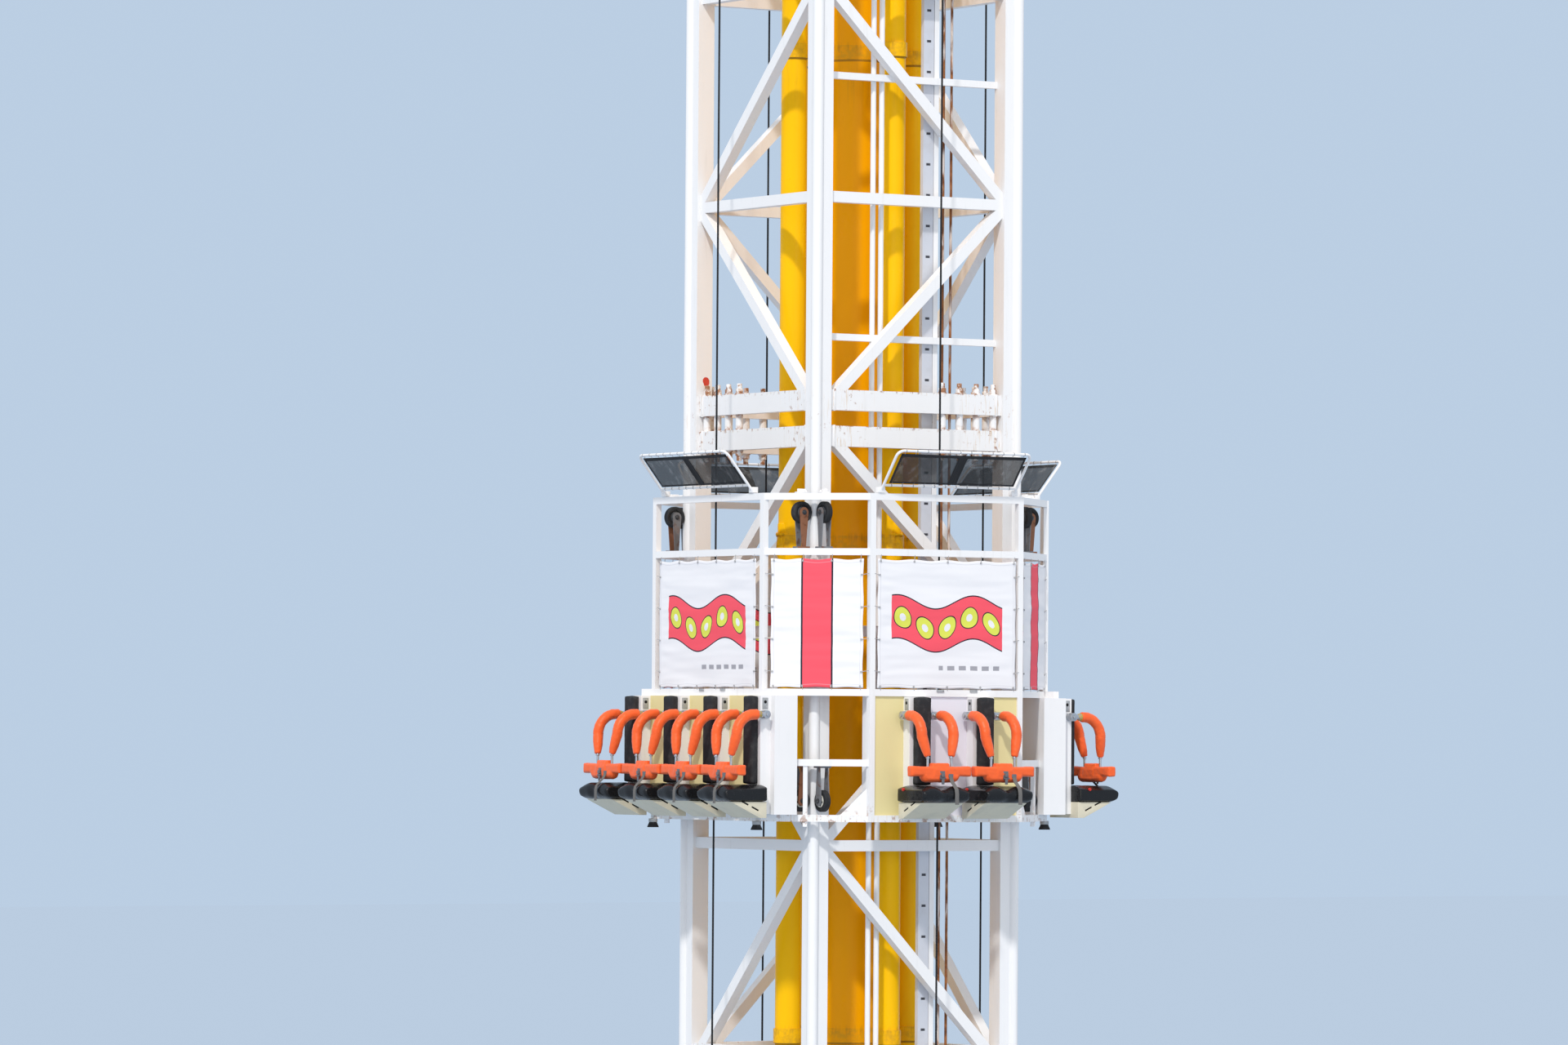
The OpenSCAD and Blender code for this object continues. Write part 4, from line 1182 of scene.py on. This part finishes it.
dark_hub = Finish("hub_dark", (0.06, 0.062, 0.068), 0.45, 0.3)
dark_hub.blotch(30, 5.0, 0.55, 0.7, 0.5, (0.30, 0.30, 0.30))
cream = Finish("hub_cream", (0.68, 0.66, 0.58), 0.5)
cream.blotch(25, 5.0, 0.55, 0.75, 0.7, (0.30, 0.27, 0.22))
# Painted shade: a flat black for discs and sheets that stand for the dark insides of holes and slots.
hole_black = Finish("hole_black", (0.012, 0.012, 0.012), 0.9)
low_row, high_row = wheel_places(LOW_WHEEL), wheel_places(HIGH_WHEEL)
tyres = spread("tyres", make_tyre(), low_row + high_row, rubber)
spread("hubs_low", make_hub(RIM_R), low_row, cream)
spread("hubs_high", make_hub(0.036), high_row, dark_hub)
spread("hub_holes_low", make_hole_shades(), low_row, hole_black)
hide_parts("guide_wheels")
print("wheels", len(tyres.data.polygons))

# %% Brackets, bolts and small boxes of the carriage


def make_rail_bracket():
    """A folded plate with two bolts, on the top rail over a wheel; its middle is at x = 0."""
    parts = [block("plate", (-0.048, -0.030, 0), (0.048, 0.030, 0.012), 0.003),
             block("rib", (-0.040, -0.006, 0.010), (0.040, 0.006, 0.036), 0.004)]
    for x in (-0.030, 0.030):
        parts.append(bar("bolt", (x, -0.018, 0.010), (x, -0.018, 0.026), 0.009, 6, bevel=0.001))
    return join("rail_bracket", parts)


def make_pin_end():
    """The nut and washer on a fork's outer plate, about the wheel's middle."""
    parts = []
    for s in (-1, 1):
        parts.append(bar("washer", (0, s * 0.043, 0), (0, s * 0.047, 0), 0.020, 20))
        parts.append(bar("nut", (0, s * 0.046, 0), (0, s * 0.058, 0), 0.015, 6, bevel=0.001))
    return join("pin_end", parts)


def make_latches():
    """On each side of a seat column: a plate with its screw, and a dark disc of painted shade for the hole
    in it.
    """
    plates, holes = [], []
    screw_y, hole_y = -SEAT_FACE - 0.030, -SEAT_FACE - 0.046
    for s in (-1, 1):
        plates.append(block("latch", (s * 0.1 - 0.003, -SEAT_FACE - 0.073, 0.892),
                            (s * 0.1 + 0.003, -SEAT_FACE - 0.019, 0.984), 0.002))
        plates.append(bar("screw", (s * 0.102, screw_y, 0.905), (s * 0.106, screw_y, 0.905), 0.006, 8))
        # Painted shade: a flat dark disc stands for the hole in the plate.
        holes.append(bar("hole", (s * 0.1028, hole_y, 0.950), (s * 0.1040, hole_y, 0.950), 0.013, 16))
    return join("latches", plates), join("holes", holes)


spread("rail_brackets", make_rail_bracket(), wheel_places(RAIL_TOP), carriage_paint)
spread("pin_ends", make_pin_end(), low_row + high_row, dark_hub)
latch_grey = Finish("latch_grey", (0.40, 0.41, 0.42), 0.45, 0.3)
latch_grey.blotch(30, 5.0, 0.52, 0.7, 0.7, (0.62, 0.62, 0.62))
latches, latch_holes = make_latches()
spread("column_latches", latches, SEAT_PLACES.values(), latch_grey)
spread("latch_holes", latch_holes, SEAT_PLACES.values(), hole_black)
ledge_box = block("box", (0, -0.034, 1.038), (0.070, -0.024, 1.058), 0.003)
ledge_places = [rail_matrix(face, CARRIAGE_Z) @ Matrix.Translation((x, 0, 0))
                for face in FACES for x in (-0.10, 0.22)]
spread("ledge_boxes", ledge_box, ledge_places, latch_grey)
print("small hardware placed")

# %% Buffers
BUFFER_OUT, BUFFER_Y = SIDE_PLANE + 35 * MM, SIDE_POST - 27 * MM
BUFFER_H = 70 * MM

cone = bar("cone", (0, 0, -0.024), (0, 0, -BUFFER_H), 0.030, 32, end_radius=0.0495, bevel=0.005)
cup = bar("cup", (0, 0, 0.001), (0, 0, -0.028), 0.036, 32, bevel=0.003)
buffer_places = [Matrix.Translation((x * BUFFER_OUT, y * BUFFER_Y, CARRIAGE_Z))
                 for x in (-1, 1) for y in (-1, 1)]
cones = spread("buffer_cones", cone, buffer_places, rubber)
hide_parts("buffers")
spread("buffer_cups", cup, buffer_places, latch_grey)
print("buffers placed")

# %% [markdown]
# Everything about a seat is drawn once, in seat space: x runs along the face, -y points out
# of it, and z starts at the carriage's underside. The seat's middle is x = 0. Then each
# pattern is copied to the twelve seats. The harness pads are skins over foam: a shape a
# little too small is remeshed, blown up as cloth, and stopped after a few millimetres, which
# leaves the puckers that real vinyl has at a bend and at a seam.

# %% Helpers for soft pieces
PIVOT = Vector((0, -(SEAT_FACE + 0.070), 0.850))
SEAT_BACK = SEAT_FACE + 0.090
CLOTH_STEPS = 20
SKIN_VOXEL, SKIN_PUFF = 6.2 * MM, 5.0 * MM


def inflate(obj, voxel, cap):
    """Remeshes the shape and blows it up as cloth, by no more than cap."""
    remesh = obj.modifiers.new("remesh", "REMESH")
    remesh.mode = "VOXEL"
    remesh.voxel_size = voxel
    apply_all(obj)
    start = [v.co.copy() for v in obj.data.vertices]
    cloth = obj.modifiers.new("cloth", "CLOTH")
    cloth.settings.quality = 5
    cloth.settings.mass = 0.3
    cloth.settings.use_pressure = True
    cloth.settings.uniform_pressure_force = 4
    cloth.settings.effector_weights.gravity = 0
    cloth.point_cache.frame_start = 1
    cloth.point_cache.frame_end = CLOTH_STEPS
    for step in range(1, CLOTH_STEPS + 1):
        bpy.context.scene.frame_set(step)
    apply_all(obj)
    bpy.context.scene.frame_set(1)
    for vertex, was in zip(obj.data.vertices, start):
        move = vertex.co - was
        if move.length > cap:
            vertex.co = was + move * (cap / move.length)
    bpy.ops.object.shade_smooth()
    return obj


def rumple(obj, amount, scale, seed=0.0):
    """Moves each point along its normal by a noise, as hands and use do to a skin."""
    shift = Vector((seed, seed * 0.7, -seed))
    for vertex in obj.data.vertices:
        vertex.co += vertex.normal * amount * noise.noise(vertex.co * scale + shift)
    return obj


print("soft helpers ready, pivot", [round(v, 3) for v in PIVOT])

# %% Harness pattern: pads
ARM_X = 0.150
PAD_R = 0.0425
BEND_R = 0.165
KNEE = Vector((ARM_X, -0.110 - BEND_R, -BEND_R))
PAD_END = Vector((0.112, -0.300, -0.324))
HIP = Vector((0.112, -0.300, -0.444))
LAP_IN = Matrix.Translation((0, 0.030, 0))


def shoulder_path():
    """Places and radii of one shoulder pad, about the pivot."""
    places, radii = [], []
    for y, r in ((-0.076, 0.022), (-0.078, 0.036), (-0.086, PAD_R)):
        places.append(Vector((ARM_X, y, 0)))
        radii.append(r)
    for i in range(9):
        t = math.radians(90 * i / 8)
        places.append(Vector((ARM_X, -0.110 - BEND_R * math.sin(t), -BEND_R + BEND_R * math.cos(t))))
        radii.append(PAD_R)
    for t, r in ((0.2, 0.042), (0.45, 0.040), (0.7, 0.035), (0.88, 0.030), (0.97, 0.027), (1.0, 0.020)):
        places.append(KNEE.lerp(PAD_END, t))
        radii.append(r)
    return places, radii


def make_shoulder_pad():
    """The pad over one shoulder, puckered on the inside of its bend."""
    pad = pipe("shoulder", *shoulder_path(), 6)
    inflate(pad, SKIN_VOXEL, SKIN_PUFF)
    for vertex in pad.data.vertices:
        bend = max(0.0, 1 - abs(vertex.co.z + 0.150) / 0.07)
        vertex.co += vertex.normal * 0.0022 * bend * math.sin(vertex.co.z * 420 + vertex.co.y * 160)
    return rumple(pad, 0.0022, 38, 3.0)


def make_belly():
    """The skin of the bar across the lap, its pad, and the block on its middle."""
    bar_skin = block("bar_skin", (-0.292, -0.366, -0.484), (0.292, -0.294, -0.400), 0.012)
    lap = block("lap", (-0.195, -0.369, -0.536), (0.195, -0.291, -0.440), 0.037)
    for vertex in lap.data.vertices:
        vertex.co.x *= 1 - 0.16 * max(0.0, (-0.470 - vertex.co.z) / 0.066)
    swell = block("swell", (-0.095, -0.371, -0.500), (0.095, -0.289, -0.402), 0.026)
    chest = block("chest", (-0.084, -0.359, -0.430), (0.084, -0.301, -0.371), 0.012)
    belly = join("belly", [bar_skin, lap, swell, chest])
    inflate(belly, SKIN_VOXEL, SKIN_PUFF)
    return rumple(belly, 0.0025, 30, 9.0)


shoulder, belly = make_shoulder_pad(), make_belly()
belly.data.transform(LAP_IN)
print("shoulder pad", len(shoulder.data.polygons), "belly", len(belly.data.polygons))
pads = join("pads", [shoulder, moved(shoulder, MIRROR_X), belly])

# %% Harness pattern: steel and buckle


def make_harness_steel():
    """The shaft, and on each side a knuckle, the arm, and the drop to the lap bar."""
    parts = [bar("shaft", (-ARM_X, 0, 0), (ARM_X, 0, 0), 0.016, 16)]
    for s in (-1, 1):
        end, hip = [Vector((s * place.x, place.y, place.z)) for place in (PAD_END, HIP)]
        parts += [
            bar("knuckle", (s * 0.104, 0, 0), (s * 0.172, 0, 0), 0.034, 28, bevel=0.004),
            bar("knuckle_nut", (s * 0.170, 0, 0), (s * 0.184, 0, 0), 0.017, 6, bevel=0.002),
            bar("arm", (s * ARM_X, 0, 0), (s * ARM_X, -0.088, 0), 0.022, 20),
            bar("drop", end.lerp(hip, -0.1), hip, 0.010, 16),
            bar("collar", end.lerp(hip, 0.02), end.lerp(hip, 0.14), 0.016, 16, bevel=0.002),
        ]
    return join("steel", parts)


def make_buckle():
    """The catch on the lap bar's middle, and the clip that holds the strap."""
    buckle = join("buckle", [
        block("plate", (-0.024, -0.377, -0.508), (0.024, -0.367, -0.438), 0.003),
        block("catch", (-0.016, -0.392, -0.486), (0.016, -0.374, -0.456), 0.004),
        bar("pin", (-0.028, -0.383, -0.496), (0.028, -0.383, -0.496), 0.006, 12),
        block("tongue", (-0.013, -0.386, -0.545), (0.013, -0.380, -0.500), 0.002),
        block("strap_clip", (0.058, -0.378, -0.492), (0.102, -0.366, -0.462), 0.003),
    ])
    buckle.data.transform(LAP_IN)
    return buckle


def make_strap():
    """A flat strap that hangs from the bar and over the nose of the seat pan."""
    path = [(-0.344, -0.470), (-0.350, -0.500), (-0.370, -0.530), (-0.399, -0.554), (-0.427, -0.583),
            (-0.4345, -0.620), (-0.4345, -0.660), (-0.436, -0.705)]
    middle, width = 0.080, 0.036
    strap = grid("strap", 1, len(path) - 1)
    for vertex in strap.data.vertices:
        y, z = path[round((0.5 - vertex.co.y) * (len(path) - 1))]
        vertex.co = (middle + vertex.co.x * width, y, z)
    outward(thicken(strap, 0.003, 0.0))
    smooth(40)
    return strap


def make_collars():
    """The ochre ends of the two arms, where the pads begin."""
    return join("collars", [
        bar("collar", (x, -0.046, 0), (x, -0.079, 0), 0.0245, 24, end_radius=0.033, bevel=0.002)
        for x in (-ARM_X, ARM_X)])


steel = Finish("bare_steel", (0.55, 0.56, 0.58), 0.3, 0.85)
steel.blotch(20, 5.0, 0.55, 0.75, 0.5, (0.30, 0.29, 0.27))
buckle_grey = Finish("buckle_grey", (0.20, 0.20, 0.21), 0.35, 0.6)
webbing = Finish("webbing", (0.15, 0.145, 0.14), 0.8)
webbing.bump(webbing.waves(130, "Z"), 0.4, 0.001)
ochre = Finish("knuckle_ochre", (0.52, 0.36, 0.06), 0.5, 0.2)
ochre.blotch(40, 5.0, 0.48, 0.62, 1.0, (0.30, 0.30, 0.30))
harness = {
    "pads": wear(pads, orange),
    "steel": wear(make_harness_steel(), steel),
    "buckle": wear(make_buckle(), buckle_grey),
    "strap": wear(make_strap(), webbing),
    "collars": wear(make_collars(), ochre),
}
print("harness patterns", len(harness))

# %% [markdown]
# Each harness is one body of the model. Its node's name is also its body's name, and the
# soft piece takes the place of the plain solid.

# %% Twelve harnesses
for seat, at in SEAT_PLACES.items():
    body = f"harness_{seat}"
    made = place_set(harness, at @ Matrix.Translation(PIVOT), body + "_{}", body)
    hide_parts(body)
drop_set(harness)
print("harnesses placed")

# %% [markdown]
# A seat pan is moulded foam with a glossy skin: two hollows for the thighs, a low ridge
# between them, and a round nose. It is a subdivided box whose points are moved by a rule.
# The wedge under it is a pale moulding with two slanted slots. The board behind the seat is
# a thin pad, blown up in the same way as the harness pads.

# %% Seat pans and wedges
PAN_WIDTH, PAN_DEPTH, PAN_THICK = 440 * MM, 400 * MM, 137 * MM
PAN_TOP = 295 * MM
WEDGE_HALF = 200 * MM
WEDGE_PROFILE = [(0, 0.158), (0.330, 0.158), (0.270, 0.128), (0.060, 0.030), (0, 0.030)]
WEDGE_SLOPE = math.atan2(0.128 - 0.030, 0.270 - 0.060)
SLOTS = [(s, out) for s in (-1, 1) for out in (0.105, 0.200)]


def make_pan():
    """In u across the seat from -1 to 1, v outwards from 0 to 1, and w up from -1 to 1."""
    half = PAN_THICK / 2
    pan = primitive("pan", bpy.ops.mesh.primitive_cube_add, size=1)
    bpy.ops.object.mode_set(mode="EDIT")
    bpy.ops.mesh.subdivide(number_cuts=11)
    bpy.ops.object.mode_set(mode="OBJECT")
    for vertex in pan.data.vertices:
        u, v, w = vertex.co.x * 2, 0.5 - vertex.co.y, vertex.co.z * 2
        out, high = v * PAN_DEPTH, w * half
        nose = max(0.0, (out - PAN_DEPTH + half) / half)
        between = math.exp(-(u / 0.20) ** 2)
        if nose > 0:
            high = half * w * math.sqrt(1 - nose * nose / 2)
            out = PAN_DEPTH - half + half * nose * math.sqrt(1 - w * w / 2) - 0.022 * nose * between
        if w > 0:
            lobe = 0.5 + 0.5 * math.cos(2 * math.pi * abs(u))
            back = 0.35 + 0.65 * math.sin(math.pi * min(1, 0.15 + v * 0.6))
            high -= w * (0.030 * lobe * back + 0.010 * between * v)
        edge = max(0.0, abs(u) - 0.84) / 0.16
        high *= 1 - 0.18 * edge ** 2
        vertex.co = (u * PAN_WIDTH / 2, -SEAT_BACK - out, PAN_TOP - half + high)
    subdivision = pan.modifiers.new("subdivision", "SUBSURF")
    subdivision.levels = 1
    subdivision.render_levels = 1
    apply_all(pan)
    bpy.ops.object.shade_smooth()
    return rumple(pan, 0.002, 16, 5.0)


def slot_matrix(side, out):
    """Carries a slot to a side wall, parallel to the wedge's lower edge."""
    z = 0.030 + (out - 0.060) * math.tan(WEDGE_SLOPE) + 0.052
    middle = Matrix.Translation((side * WEDGE_HALF, -SEAT_BACK - out, z))
    return middle @ Matrix.Rotation(-WEDGE_SLOPE, 4, "X")


def make_slot_shade_sheets():
    """A dark sheet of painted shade at the bottom of each slot."""
    parts = []
    for s, out in SLOTS:
        # Painted shade: a thin black sheet gives the slot its dark inside.
        lining = block("lining", (-0.002, -0.034, -0.006), (0.002, 0.034, 0.006), 0)
        lining.data.transform(Matrix.Translation((-s * 0.0065, 0, 0)) @ slot_matrix(s, out))
        parts.append(lining)
    return join("slot_linings", parts)


def make_knob():
    """A small red knob beside the pan."""
    y, z = -SEAT_BACK - 0.10, 0.262
    return bar("knob", (-0.214, y, z), (-0.232, y, z), 0.013, 20, bevel=0.003)


def make_wedge():
    """The side outline, pulled across the seat, with two slots cut in each end."""
    wedge = primitive("wedge", bpy.ops.mesh.primitive_circle_add, vertices=5, fill_type="NGON")
    for vertex, (out, z) in zip(wedge.data.vertices, WEDGE_PROFILE):
        vertex.co = (-WEDGE_HALF, -SEAT_BACK - out, z)
    bpy.ops.object.mode_set(mode="EDIT")
    bpy.ops.mesh.select_all(action="SELECT")
    bpy.ops.mesh.extrude_region_move(TRANSFORM_OT_translate={"value": (2 * WEDGE_HALF, 0, 0)})
    bpy.ops.object.mode_set(mode="OBJECT")
    outward(wedge)
    for s, out in SLOTS:
        tool = block("slot", (-0.008, -0.037, -0.007), (0.008, 0.037, 0.007), 0.005)
        tool.data.transform(slot_matrix(s, out))
        cut(wedge, tool)
    return round_edges(wedge, 0.006, 3, 25)


def make_back_board():
    """Starts 3 mm too small on every free side, and is blown up to its size."""
    low = (-0.077, -SEAT_BACK - 0.057, 0.298)
    board = block("board", low, (0.077, -SEAT_BACK, 0.997), 0)
    return inflate(round_edges(board, 0.010, 4), 0.016, 0.003)


seat_set = {
    "pan": wear(make_pan(), foam),
    "back_board": wear(make_back_board(), rubber),
    "wedge": wear(make_wedge(), beige),
    "slot_linings": wear(make_slot_shade_sheets(), hole_black),
    "knob": wear(make_knob(), Finish("knob_red", (0.55, 0.03, 0.02), 0.35)),
}
print({kind: len(pattern.data.polygons) for kind, pattern in seat_set.items()})

# %% Twelve seats
for seat, at in SEAT_PLACES.items():
    made = place_set(seat_set, at, "{}_" + seat, "carriage")
drop_set(seat_set)
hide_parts("seat_pans")
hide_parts("seat_wedges")
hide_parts("back_pads")
print("seats placed")
